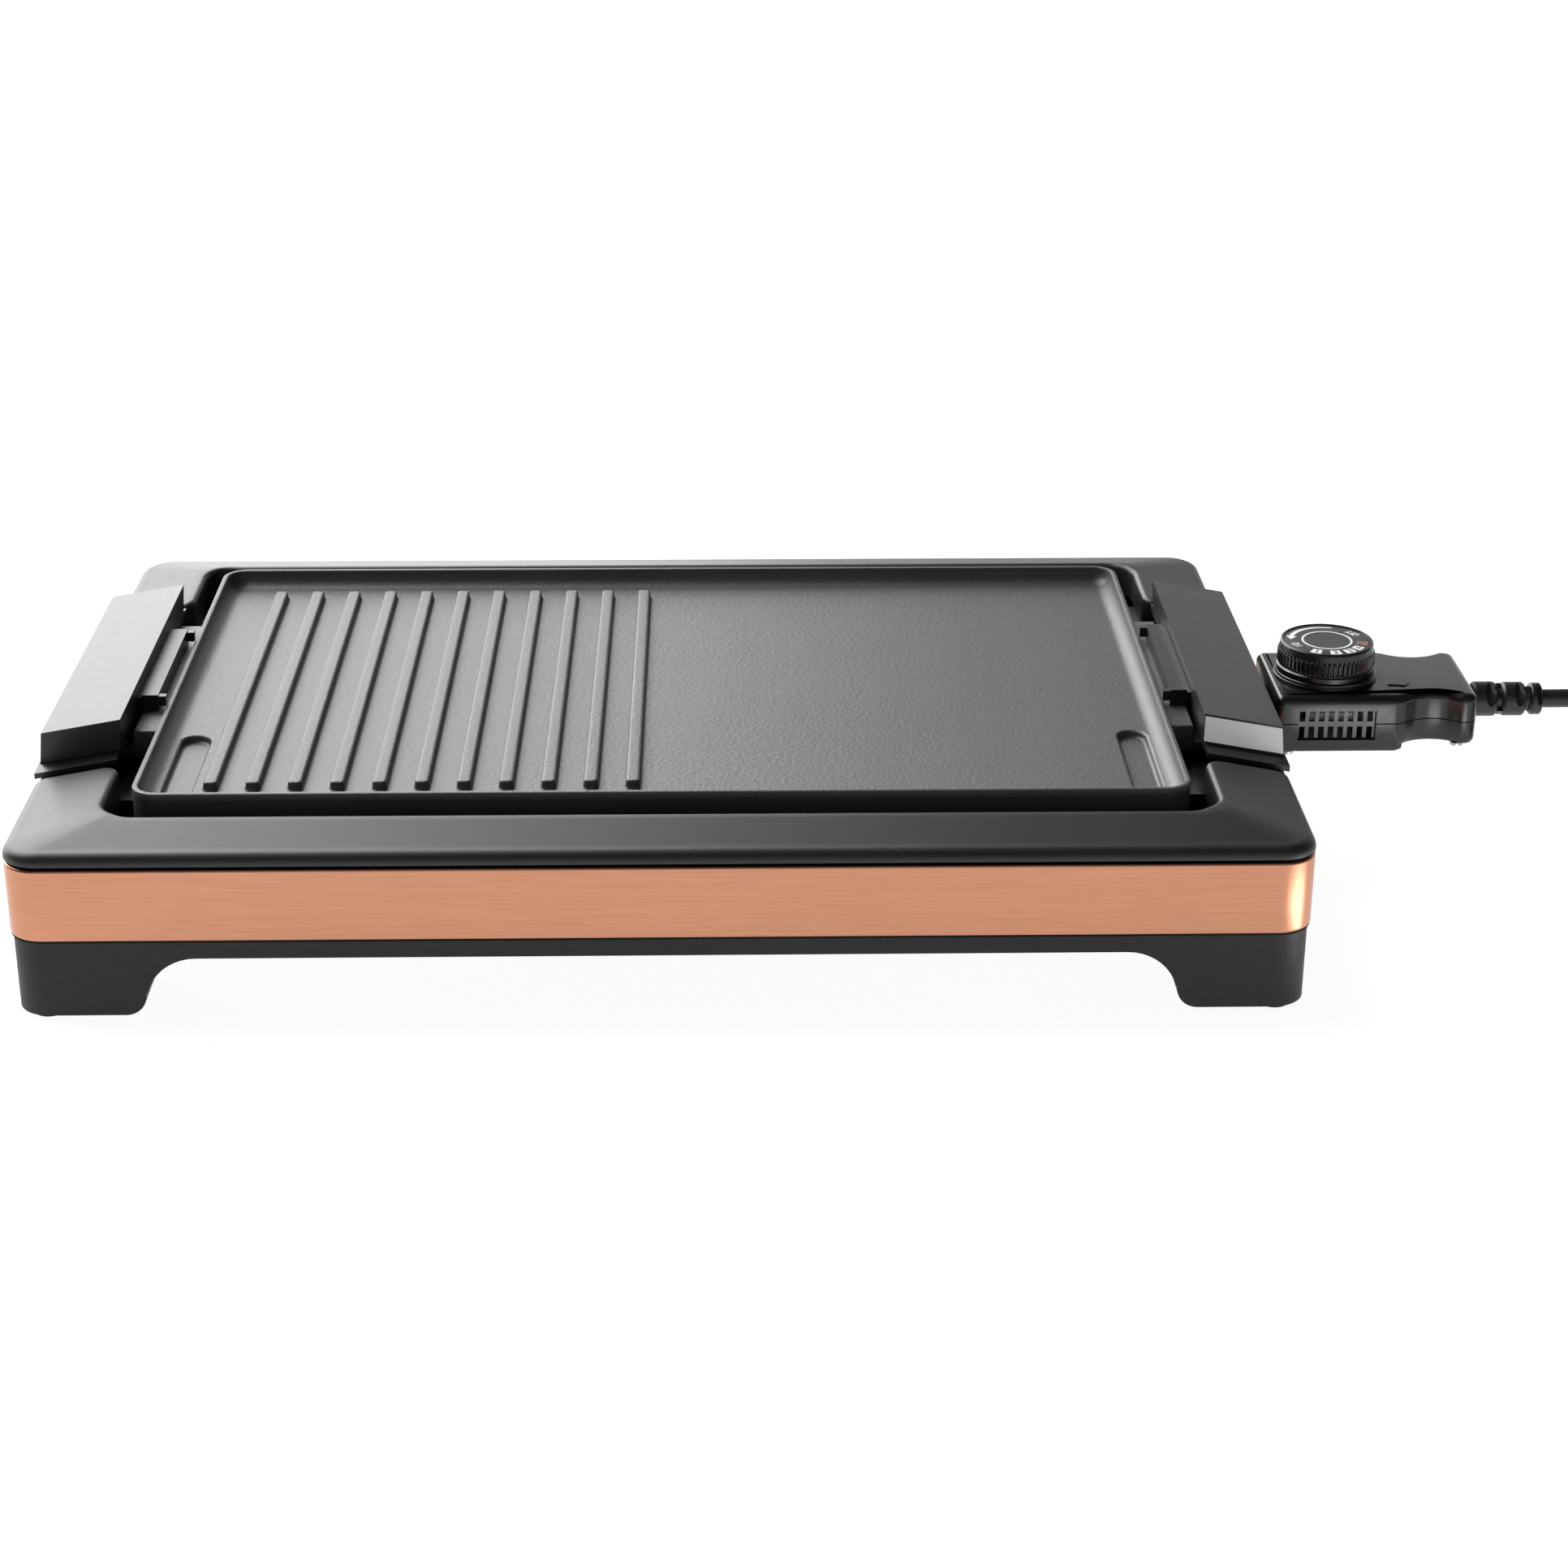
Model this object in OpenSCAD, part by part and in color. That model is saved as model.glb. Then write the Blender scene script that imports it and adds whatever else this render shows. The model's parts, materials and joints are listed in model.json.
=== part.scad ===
// Electric griddle: a lift-out non-stick plate with two handles on a low base, a plug-in
// temperature control with a round knob on its right side, and a mains lead with its plug.
// Millimetres, +Z up, feet on Z = 0. +X points to the control, +Y to the back.

/* [Body] */
// Width of the base, left to right
body_w = 480; // [470:1:500]
// Depth of the base, front to back
body_d = 325; // [318:1:345]
// Corner radius of the base in plan
corner_r = 14; // [10:1:18]
// Height of the leg bottoms above the surface
leg_z = 3; // [2:0.5:4]
// Underside of the base between the legs
belly_z = 26; // [24:0.5:28]
// Lower edge of the copper band
band_z0 = 33.5; // [32:0.5:36]
// Upper edge of the copper band
band_z1 = 62; // [61:0.5:62]
// Thickness of the copper band
band_t = 1; // [0.6:0.1:1.2]
// Wall thickness of the mouldings
wall = 2.5; // [2:0.1:3]

/* [Top cover] */
// Upper edge of the cover at its outer side
cover_zo = 68; // [67:0.5:69]
// Upper edge of the cover at the opening
cover_zi = 73; // [72:0.5:74]
// Width of the opening
open_w = 414; // [412:1:416]
// Depth of the opening
open_d = 273; // [271:1:275]
// Length of the gap each handle stands in
notch_l = 173; // [172:1:176]

/* [Plate] */
// Width of the plate over its rim
plate_w = 396; // [394:1:398]
// Depth of the plate over its rim
plate_d = 251; // [249:1:253]
// Height of the plate's rim
rim_z = 76; // [75:0.5:77]
// Height of the cooking floor
floor_z = 69; // [68.5:0.5:70]
// Number of grill ribs
rib_n = 11; // [7:1:11]
// Distance between grill ribs
rib_pitch = 15.92; // [15:0.01:16]
// Width of a grill rib
rib_w = 5.3; // [4:0.1:6]
// Height of a grill rib
rib_h = 3.3; // [2:0.1:4]

/* [Handles] */
// Length of a handle along its top
handle_l = 154; // [150:1:156]
// Height of a handle at its inner edge
handle_zi = 86.3; // [85:0.1:87]
// Height of a handle at its outer edge
handle_zo = 80.7; // [79.5:0.1:82]

/* [Control] */
// Radius of the knob's grip
knob_r = 19.8; // [18:0.1:20.4]
// Height of the knob's top
knob_z = 87.6; // [86:0.1:89]
// Half depth of the control body
ctl_hw = 27; // [26:0.1:28]
// Diameter of the mains lead
cord_d = 7.6; // [7:0.1:8]

/* [Hidden] */

e = 0.01;
hw = body_w / 2;
hd = body_d / 2;
handle_x0 = 208.2;
handle_x1 = hw + 1.6;
ctl_x0 = hw + 6;
ctl_x1 = ctl_x0 + 52;
ctl_x2 = ctl_x0 + 82.5;
ctl_z0 = 48.6;
ctl_zm = 61;
ctl_z1 = 72.5;
grip_z0 = 51.2;
knob_x = hw + 30;
pin_y = 12;
pin_z = 54;
relief_l = 32;
x_mid = (ctl_x2 - handle_x1) / 2;
skirt_z = 59;
floor_bot = floor_z - 4;
post_h = 36;
leg_w = 49;
leg_r = 8;
leg_step_z = 12;
arch_x = 68;
arch_r = 19.2;
sill_z = 64.4;
rib_x0 = -170.9;
rib_y = 106.5;
slot_x = 183.6;
slot_y = -57.5;
shield_z = 47;
boss_xy = [[-168, -104], [-168, 104], [174, -104], [174, 104]];
coil_x = ctl_x2 + 136.5;
coil_y = -45.8;
coil_ri = 34.4;
coil_ro = 49.6;
coil_z = 1;
coil_h = 15.2;

// the lead's own routes, in plain numbers from the end of the control
lead_pts = [[32, 0, 61], [38, 0, 61], [44, 0, 61], [51.6, 0, 60.1], [58.8, 0, 57.3], [65.1, 0, 52.9],
            [70.1, 0, 47.1], [73.6, 0, 40.3], [75.3, 0, 32.9], [77, 0, 25.5], [80.5, 0, 18.7],
            [85.5, 0, 12.9], [91.8, 0, 8.5], [99, 0, 5.7], [106.6, 0, 4.8], [121, 0, 4.8],
            [136.5, 0, 4.8]];
tail_pts = [[136.5, 0, 20], [154, -3.5, 20], [168.9, -13.4, 20], [178.8, -28.3, 20],
            [182.3, -45.8, 20], [182.3, -54, 20], [182.3, -62, 19.8], [182.3, -71, 19.4],
            [182.3, -80, 19.1], [182.3, -88, 19], [182.3, -95, 19]];

module placed() { translate([-x_mid, 0, 0]) children(); }

module rrect(w, d, r) {
    square([w - 2 * r, d], center = true);
    square([w, d - 2 * r], center = true);
    for (sx = [-1, 1], sy = [-1, 1])
        translate([sx * (w / 2 - r), sy * (d / 2 - r)])
            circle(r = r, $fn = 64);
}

module rbox(w, d, r, z0, z1) {
    translate([0, 0, z0])
        linear_extrude(z1 - z0)
            rrect(w, d, r);
}

// quarter-round edge profile, standing on z = 0, from x = 0 out to x = q
module edge_profile(q, h) {
    square([q, h - q]);
    intersection() {
        translate([0, h - q])
            circle(r = q, $fn = 64);
        translate([0, h - q - e])
            square([q, q + e]);
    }
}

// slab with a quarter-round top edge of radius q, made of exact pieces
module rolled(w, d, r, h, q) {
    linear_extrude(h)
        rrect(w - 2 * q, d - 2 * q, r - q);
    for (s = [0, 180]) {
        rotate([0, 0, s])
            translate([w / 2 - q, d / 2 - r, 0])
                rotate([90, 0, 0])
                    linear_extrude(d - 2 * r)
                        edge_profile(q, h);
        rotate([0, 0, s + 90])
            translate([d / 2 - q, w / 2 - r, 0])
                rotate([90, 0, 0])
                    linear_extrude(w - 2 * r)
                        edge_profile(q, h);
    }
    for (i = [0:3])
        rotate([0, 0, i * 90])
            translate([(i % 2 == 0 ? w : d) / 2 - r, (i % 2 == 0 ? d : w) / 2 - r, 0])
                rotate_extrude(angle = 90, $fn = 96)
                    translate([r - q, 0])
                        edge_profile(q, h);
}

// ---------- base ----------

// outline of one elevation of the base, with the arch between its legs
module arch_profile(half, top, lift) {
    difference() {
        translate([-half, leg_z + lift])
            square([2 * half, top - leg_z - lift]);
        translate([-(half - arch_x), 0])
            square([2 * (half - arch_x), belly_z + lift]);
        translate([-(half - leg_w) - lift, 0])
            square([2 * (half - leg_w) + 2 * lift, leg_step_z]);
        for (s = [-1, 1]) {
            intersection() {
                translate([s * (half - arch_x), belly_z - arch_r])
                    circle(r = arch_r + lift, $fn = 96);
                translate([-half, leg_step_z - e])
                    square([2 * half, belly_z]);
            }
            difference() {
                translate([s > 0 ? half - leg_w - 1 : -(half - leg_w + leg_r) - lift, 0])
                    square([leg_r + 1 + lift, leg_z + leg_r]);
                translate([s * (half - leg_w + leg_r + lift), leg_z + leg_r])
                    circle(r = leg_r, $fn = 64);
            }
        }
    }
}

module base_form(inset, lift, top) {
    intersection() {
        rbox(body_w - 2 * inset, body_d - 2 * inset, corner_r - inset, leg_z + lift, top);
        translate([0, hd, 0])
            rotate([90, 0, 0])
                linear_extrude(body_d)
                    arch_profile(hw - 1, top, lift);
        translate([-hw, 0, 0])
            rotate([90, 0, 90])
                linear_extrude(body_w)
                    arch_profile(hd - 1, top, lift);
    }
}

post_xy = [[-120, 148], [120, 148], [-120, -148], [120, -148],
           [-222, 89.5], [222, 89.5], [-222, -89.5], [222, -89.5]];
foot_xy = [hw - 12, hd - 12];

module base_housing() {
    color("#303031")
        placed()
            difference() {
                base_form(1, 0, band_z1);
                base_form(1 + wall, wall, band_z1 + 1);
                // way in for the control's socket
                translate([hw - 12, -27, 45])
                    cube([24, 54, 30]);
                for (p = post_xy)
                    translate([p[0], p[1], 0])
                        cylinder(r = 2.2, h = 60, $fn = 32);
                for (sx = [-1, 1], sy = [-1, 1])
                    translate([sx * foot_xy[0], sy * foot_xy[1], 0])
                        cylinder(r = 2.5, h = 12, $fn = 32);
                // air slots in the floor
                for (ix = [-4:4], sy = [-1, 1])
                    translate([ix * 40 - 15, sy * 60 - 3, 20])
                        cube([30, 6, 20]);
            }
}

module trim_band() {
    color("#cf9475")
        placed()
            difference() {
                rbox(body_w, body_d, corner_r, band_z0, band_z1);
                rbox(body_w - 2 * band_t, body_d - 2 * band_t, corner_r - band_t, 0, 90);
                translate([hw - 12, -27, 45])
                    cube([24, 54, 30]);
            }
}

// the cover's sloping borders as a roof over each direction
module roof(half, inner, drop, top) {
    translate([0, -drop])
        polygon([[-half, 50], [half, 50], [half, cover_zo], [inner, top], [-inner, top],
                 [-half, cover_zo]]);
}

module cover_form(inset, drop, z0) {
    intersection() {
        translate([0, 0, z0])
            rolled(body_w - 2 * inset, body_d - 2 * inset, corner_r - inset,
                   cover_zo - z0 - drop + 0.5, 3.5);
        union() {
            translate([0, hd, 0])
                rotate([90, 0, 0])
                    linear_extrude(body_d)
                        roof(hw, open_w / 2, drop, cover_zi);
        }
    }
    intersection() {
        rbox(body_w - 2 * inset - 7, body_d - 2 * inset - 7, corner_r - inset - 3.5, z0, 80);
        translate([0, hd, 0])
            rotate([90, 0, 0])
                linear_extrude(body_d)
                    roof(hw - 3.5, open_w / 2, drop, cover_zi);
        translate([-hw, 0, 0])
            rotate([90, 0, 90])
                linear_extrude(body_w)
                    roof(hd - 3.5, open_d / 2, drop, cover_zi);
    }
}

module top_cover() {
    color("#2b2b2d")
        placed()
            difference() {
                union() {
                    difference() {
                        cover_form(0, 0, 63.3);
                        cover_form(2.6, 2.6, 60);
                    }
                    // wall down around the opening
                    difference() {
                        rbox(open_w + 5, open_d + 5, 14, skirt_z + 0.3, 71);
                        rbox(open_w, open_d, 12, 50, 80);
                    }
                }
                rbox(open_w, open_d, 12, 50, 80);
                // gaps for the handles
                translate([-hw - 5, -notch_l / 2, 50])
                    cube([2 * hw + 10, notch_l, 40]);
            }
}

// the low sills that close the cover's outer edge under the handles
module handle_sills() {
    color("#2b2b2d")
        placed()
            difference() {
                for (m = [0, 1])
                    mirror([m, 0, 0])
                        translate([0, notch_l / 2, 0])
                            rotate([90, 0, 0])
                                linear_extrude(notch_l)
                                    polygon([[hw - 7.5, 58], [hw - 4, 58], [hw - 4, 63.3], [hw, 63.3],
                                             [hw, sill_z], [hw - 7.5, sill_z]]);
                translate([hw - 12, -27, 45])
                    cube([24, 54, 30]);
            }
}

// the cover's screw posts, standing on the floor of the housing
module screw_posts() {
    color("#2b2b2d")
        placed()
            for (p = post_xy)
                translate([p[0], p[1], belly_z + wall])
                    difference() {
                        cylinder(r = 4, h = post_h, $fn = 32);
                        translate([0, 0, -1])
                            cylinder(r = 1.5, h = 18, $fn = 32);
                    }
}

module support_rail(s) {
    color("#38383a")
        placed()
            difference() {
                union() {
                    translate([s > 0 ? 211 : -213, -118, belly_z + wall])
                        cube([2, 236, skirt_z - belly_z - wall]);
                    translate([s > 0 ? 194 : -213, -118, skirt_z - 2])
                        cube([19, 236, 2]);
                    for (y = [-112, -38, 35.5, 109.5])
                        translate([s > 0 ? 213 : -221, y, belly_z + wall])
                            cube([8, 2.5, 24]);
                }
                translate([s > 0 ? 193 : -210, -118 - e, skirt_z - 3])
                    cube([17, 26, 8]);
                if (s > 0)
                    translate([190, -28, 44])
                        cube([40, 56, 30]);
            }
}

module support_rail_left() { support_rail(-1); }
module support_rail_right() { support_rail(1); }

module foot(sx, sy) {
    color("#222223")
        placed()
            translate([sx * foot_xy[0], sy * foot_xy[1], 0]) {
                cylinder(r = 6, h = leg_z, $fn = 48);
                translate([0, 0, leg_z - e])
                    cylinder(r = 2.5, h = 5, $fn = 32);
            }
}

module foot_front_left() { foot(-1, -1); }
module foot_front_right() { foot(1, -1); }
module foot_back_left() { foot(-1, 1); }
module foot_back_right() { foot(1, 1); }

module cover_screws() {
    color("#b9bbbd")
        placed()
            for (p = post_xy)
                translate([p[0], p[1], 0]) {
                    translate([0, 0, belly_z - 2])
                        cylinder(r = 3.6, h = 2, $fn = 32);
                    translate([0, 0, belly_z - e])
                        cylinder(r = 1.5, h = 17, $fn = 32);
                }
}

module drip_tray() {
    color("#a9abad")
        placed() {
            difference() {
                rbox(404, 268, 14, belly_z + wall, 40);
                rbox(401.6, 265.6, 12.8, belly_z + wall + 1.2, 50);
            }
            difference() {
                rbox(408, 272, 16, 39, 40);
                rbox(402, 266, 13, 30, 50);
            }
        }
}

// ---------- griddle unit ----------

// the heater's loop: straight runs and quarter bends of one profile
module loop_run(x0, y0, x1, y1) {
    len = abs(x1 - x0) + abs(y1 - y0);
    translate([min(x0, x1), x0 == x1 ? max(y0, y1) : min(y0, y1), pin_z])
        rotate(x0 == x1 ? [90, 0, 0] : [90, 0, 90])
            linear_extrude(len)
                children();
}

module loop_bend(x, y, a) {
    translate([x, y, pin_z])
        rotate([0, 0, a])
            rotate_extrude(angle = 90, $fn = 96)
                translate([20, 0])
                    children();
}

module heater_loop() {
    for (s = [-1, 1])
        loop_run(180, s * pin_y, 208, s * pin_y) children();
    loop_bend(180, pin_y + 20, 180) children();
    loop_bend(180, -pin_y - 20, 90) children();
    for (s = [-1, 1])
        loop_run(160, s * 32, 160, s * 60) children();
    loop_bend(140, 60, 0) children();
    loop_bend(140, -60, 270) children();
    for (s = [-1, 1])
        loop_run(-130, s * 80, 140, s * 80) children();
    loop_bend(-130, 60, 90) children();
    loop_bend(-130, -60, 180) children();
    loop_run(-150, -60, -150, 60) children();
}

module rib_form(x) {
    translate([x, 0, floor_z - 0.5])
        linear_extrude(rib_h + 0.5)
            rrect(rib_w, 2 * rib_y, 1.6);
}

module griddle_plate() {
    color("#3a3a3c")
        placed()
            difference() {
                union() {
                    difference() {
                        rbox(plate_w, plate_d, 10, skirt_z, rim_z);
                        translate([0, 0, rim_z + 1])
                            mirror([0, 0, 1])
                                rolled(plate_w - 4.6, plate_d - 4.6, 7.7, rim_z + 1 - floor_z, 6.5);
                        // hollow below the floor, inside the skirt
                        rbox(plate_w - 6, plate_d - 6, 7, skirt_z - 1, floor_bot);
                    }
                    for (i = [0:rib_n - 1])
                        rib_form(rib_x0 + i * rib_pitch);
                    // ears that carry the handles
                    for (s = [-1, 1]) {
                        translate([s > 0 ? plate_w / 2 - 1 : -207.6, -59, 62.5])
                            cube([207.6 - plate_w / 2 + 1, 118, 74 - 62.5]);
                        for (y = [-57, 29])
                            translate([s > 0 ? 200 : -228, y, 62.5])
                                cube([28, 28, 3.5]);
                    }
                }
                // drain channels and their holes
                for (s = [-1, 1]) {
                    translate([s * slot_x, slot_y, floor_z - 2.6])
                        cylinder(r = 6, h = 6, $fn = 48);
                    translate([s * slot_x - 6, -113.5, floor_z - 2.6])
                        cube([12, 113.5 + slot_y, 6]);
                    translate([s * slot_x, -108, 40])
                        cylinder(r = 4, h = 30, $fn = 48);
                }
                for (s = [-1, 1], y = [-43, 43])
                    translate([s * 218, y, 60])
                        cylinder(r = 2.3, h = 10, $fn = 32);
            }
}

// what is cast under the plate: the heater's channel, the drain spouts and the shield's bosses
module plate_underside() {
    color("#3a3a3c")
        placed()
            difference() {
                union() {
                    heater_loop()
                        translate([-6.5, -5])
                            square([13, floor_bot - pin_z + 5]);
                    translate([128, -6, pin_z - 5])
                        cube([64, 12, floor_bot - pin_z + 5]);
                    for (s = [-1, 1])
                        translate([s * slot_x, -108, 52])
                            cylinder(r = 6, h = floor_bot - 52, $fn = 48);
                    for (p = boss_xy)
                        translate([p[0], p[1], shield_z])
                            cylinder(r = 5, h = floor_bot - shield_z, $fn = 32);
                }
                // keeps clear of the plate's skirt
                difference() {
                    translate([-250, -200, skirt_z])
                        cube([500, 400, 20]);
                    rbox(plate_w - 6.2, plate_d - 6.2, 7, skirt_z - 1, skirt_z + 21);
                }
                for (s = [-1, 1])
                    translate([s * slot_x, -108, 40])
                        cylinder(r = 4, h = 30, $fn = 48);
                heater_loop()
                    circle(r = 3.6, $fn = 48);
                translate([130.5, 0, pin_z])
                    rotate([0, 90, 0])
                        cylinder(r = 2.8, h = 80, $fn = 32);
                for (p = boss_xy)
                    translate([p[0], p[1], 40])
                        cylinder(r = 1.4, h = 16, $fn = 32);
            }
}

module heating_element() {
    color("#7d7a76")
        placed()
            heater_loop()
                circle(r = 3.6, $fn = 48);
}

module element_pins() {
    color("#c9ccce")
        placed()
            for (s = [-1, 1])
                translate([208, s * pin_y, pin_z])
                    rotate([0, 90, 0])
                        cylinder(r = 2, h = 30, $fn = 32);
}

module bottom_shield() {
    color("#b4b6b8")
        placed()
            difference() {
                rbox(354, 240, 10, shield_z - 1, shield_z);
                for (p = boss_xy)
                    translate([p[0], p[1], 40])
                        cylinder(r = 1.8, h = 16, $fn = 32);
            }
}

module shield_screws() {
    color("#b9bbbd")
        placed()
            for (p = boss_xy)
                translate([p[0], p[1], shield_z]) {
                    translate([0, 0, -3])
                        cylinder(r = 3, h = 2, $fn = 32);
                    translate([0, 0, -1 - e])
                        cylinder(r = 1.4, h = 9, $fn = 32);
                }
}

// one handle, on the +X side: a block with a sloping top and a flared skirt
module handle_form() {
    tilt = atan((handle_zi - handle_zo) / (hw - 0.8 - handle_x0));
    hl = handle_l / 2;
    difference() {
        intersection() {
            translate([handle_x0, 0, handle_zi])
                rotate([0, tilt, 0])
                    translate([-20, 0, 0])
                        rotate([90, 0, 90])
                            linear_extrude(80)
                                polygon([[-hl, 0], [hl, 0], [hl, -12.1], [hl + 7, -13.2],
                                         [hl + 7, -15.4], [-hl - 7, -15.4], [-hl - 7, -13.2],
                                         [-hl, -12.1]]);
            translate([0, 100, 0])
                rotate([90, 0, 0])
                    linear_extrude(200)
                        polygon([[handle_x0, 90], [hw - 0.9, 90], [hw - 0.8, handle_zo],
                                 [hw + 0.4, handle_zo - 12], [handle_x1, handle_zo - 13.6],
                                 [handle_x1, 60], [handle_x0 + 1.6, 60],
                                 [handle_x0 + 1.2, handle_zi - 12.5]]);
        }
        for (y = [-43, 43])
            translate([218, y, 60])
                cylinder(r = 2, h = 18, $fn = 32);
    }
    // screw bosses down to the plate's ears
    for (y = [-43, 43])
        difference() {
            translate([218, y, 66])
                cylinder(r = 5.5, h = 8, $fn = 32);
            translate([218, y, 60])
                cylinder(r = 2, h = 18, $fn = 32);
        }
}

module handle_left() {
    color("#29292b")
        placed()
            mirror([1, 0, 0])
                handle_form();
}

module handle_right() {
    color("#29292b")
        placed()
            handle_form();
}

module block_form() {
    translate([201, -37.5, 74])
        cube([6.6, 75, 6.5]);
    for (y = [-37.5, 34.5])
        translate([198, y, 76])
            cube([3.2, 3, 4]);
    translate([207.4, -37.5, 75])
        cube([2, 75, 4.5]);
}

module handle_block_left() {
    color("#2e2e30")
        placed()
            mirror([1, 0, 0])
                difference() {
                    block_form();
                    handle_form();
                }
}

module handle_block_right() {
    color("#2e2e30")
        placed()
            difference() {
                block_form();
                handle_form();
            }
}

module handle_screws() {
    color("#b9bbbd")
        placed()
            for (s = [-1, 1], y = [-43, 43])
                translate([s * 218, y, 0]) {
                    translate([0, 0, 60.3])
                        cylinder(r = 3.8, h = 2.2, $fn = 32);
                    translate([0, 0, 62.5 - e])
                        cylinder(r = 2, h = 15, $fn = 32);
                }
}

module socket_shroud() {
    color("#353537")
        placed()
            difference() {
                union() {
                    translate([208, -25.5, 46])
                        cube([hw + 0.5 - 208, 51, 15.9]);
                    // flange against the outside of the base
                    translate([hw + 0.4, -30, 43.5])
                        cube([3, 60, 20.5]);
                }
                translate([214, -22.5, 48.5])
                    cube([40, 45, 11.2]);
                for (s = [-1, 1])
                    translate([200, s * pin_y, pin_z])
                        rotate([0, 90, 0])
                            cylinder(r = 2, h = 20, $fn = 32);
                translate([200, 0, pin_z])
                    rotate([0, 90, 0])
                        cylinder(r = 2.8, h = 20, $fn = 32);
            }
}

module earth_tab() {
    color("#c2b280")
        placed()
            translate([214, -3, 58])
                cube([22, 6, 1]);
}

// ---------- control ----------

module control_plan() {
    translate([(ctl_x0 + ctl_x1) / 2, 0])
        rrect(ctl_x1 - ctl_x0, 2 * ctl_hw, 3);
    difference() {
        translate([(ctl_x1 - 10 + ctl_x2) / 2, 0])
            rrect(ctl_x2 - ctl_x1 + 10, 2 * ctl_hw - 3, 4);
        for (s = [-1, 1])
            translate([ctl_x1 + 12, s * (ctl_hw + 10.3)])
                circle(r = 16, $fn = 96);
    }
}

module control_inside() {
    translate([(ctl_x0 + ctl_x1) / 2, 0])
        rrect(ctl_x1 - ctl_x0 - 4, 2 * ctl_hw - 5, 2);
    translate([ctl_x1 - 6, -19])
        square([32, 38]);
}

module vents() {
    for (s = [-1, 1], i = [0:7], z = [54.7, 61.7])
        translate([ctl_x0 + 9.9 + i * 3.9, s > 0 ? ctl_hw - 4 : -ctl_hw - 1, z])
            cube([2.6, 5, 4.2]);
    for (s = [-1, 1])
        translate([ctl_x0 + 9.2, s > 0 ? ctl_hw - 1 : -ctl_hw - 1, 54.1])
            cube([31.3, 2, 12.3]);
}

module control_bottom_shell() {
    color("#2c2c2e")
        placed()
            difference() {
                union() {
                    translate([0, 0, grip_z0])
                        linear_extrude(ctl_zm - grip_z0)
                            control_plan();
                    translate([(ctl_x0 + ctl_x1 - 2) / 2, 0, ctl_z0])
                        linear_extrude(4)
                            rrect(ctl_x1 - ctl_x0 - 2, 2 * ctl_hw, 3);
                }
                translate([0, 0, grip_z0 + 2])
                    linear_extrude(20)
                        control_inside();
                vents();
                translate([ctl_x0 - 1, -21.8, 47])
                    cube([6, 43.6, 12.7]);
                // groove under the probe
                translate([ctl_x0 + 4, -2.9, pin_z - 2.9])
                    cube([13, 5.8, 5]);
                translate([ctl_x2 - 8, 0, ctl_zm])
                    rotate([0, 90, 0])
                        cylinder(r = 4.2, h = 20, $fn = 48);
                for (x = [ctl_x0 + 6.2, ctl_x2 - 7], s = [-1, 1])
                    translate([x, s * (x > ctl_x1 ? 21.8 : 23.4), 40])
                        cylinder(r = 1.6, h = 40, $fn = 32);
            }
}

module control_top_shell() {
    color("#2c2c2e")
        placed()
            difference() {
                union() {
                    translate([0, 0, ctl_zm])
                        linear_extrude(ctl_z1 - ctl_zm - 2.7)
                            control_plan();
                    translate([(ctl_x0 + ctl_x1) / 2, 0, ctl_zm])
                        rolled(ctl_x1 - ctl_x0, 2 * ctl_hw, 3, ctl_z1 - ctl_zm, 2.7);
                    translate([0, 0, ctl_zm])
                        linear_extrude(ctl_z1 - ctl_zm)
                            difference() {
                                translate([(ctl_x1 - 10 + ctl_x2) / 2, 0])
                                    rrect(ctl_x2 - ctl_x1 + 6, 2 * ctl_hw - 7, 3);
                                for (s = [-1, 1])
                                    translate([ctl_x1 + 12, s * (ctl_hw + 10.3)])
                                        circle(r = 18, $fn = 96);
                            }
                }
                translate([0, 0, 40])
                    linear_extrude(ctl_z1 - 2 - 40)
                        control_inside();
                vents();
                translate([ctl_x2 - 8, 0, ctl_zm])
                    rotate([0, 90, 0])
                        cylinder(r = 4.2, h = 20, $fn = 48);
                translate([knob_x, 0, 60])
                    cylinder(r = 4, h = 20, $fn = 48);
                for (x = [ctl_x0 + 6.2, ctl_x2 - 7], s = [-1, 1])
                    translate([x, s * (x > ctl_x1 ? 21.8 : 23.4), ctl_zm - 1])
                        cylinder(r = 1.2, h = 8, $fn = 32);
            }
    color("#2c2c2e")
        placed()
            for (x = [ctl_x0 + 6.2, ctl_x2 - 7], s = [-1, 1])
                translate([x, s * (x > ctl_x1 ? 21.8 : 23.4), 0])
                    difference() {
                        translate([0, 0, ctl_zm])
                            cylinder(r = 2.6, h = ctl_z1 - 2.9 - ctl_zm, $fn = 32);
                        translate([0, 0, ctl_zm - 1])
                            cylinder(r = 1.2, h = 8, $fn = 32);
                    }
}

module contact_block() {
    color("#3b2f2a")
        placed()
            difference() {
                union() {
                    translate([ctl_x0 - 18, -21.5, 49.2])
                        cube([22.8, 43, 10]);
                    translate([ctl_x0 + 2.2, -17, 53.4])
                        cube([13.8, 34, 5.8]);
                }
                for (s = [-1, 1])
                    translate([ctl_x0 - 20, s * pin_y, pin_z])
                        rotate([0, 90, 0])
                            cylinder(r = 3.2, h = 30, $fn = 32);
                translate([ctl_x0 - 20, 0, pin_z])
                    rotate([0, 90, 0])
                        cylinder(r = 2.5, h = 36, $fn = 32);
                translate([ctl_x0 - 20, -4, 57.2])
                    cube([16, 8, 4]);
            }
}

module contact_sockets() {
    color("#c9ccce")
        placed()
            for (s = [-1, 1])
                translate([ctl_x0 - 18, s * pin_y, pin_z])
                    rotate([0, 90, 0])
                        difference() {
                            cylinder(r = 3.2, h = 22.5, $fn = 32);
                            translate([0, 0, -1])
                                cylinder(r = 2.35, h = 20, $fn = 32);
                        }
}

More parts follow.
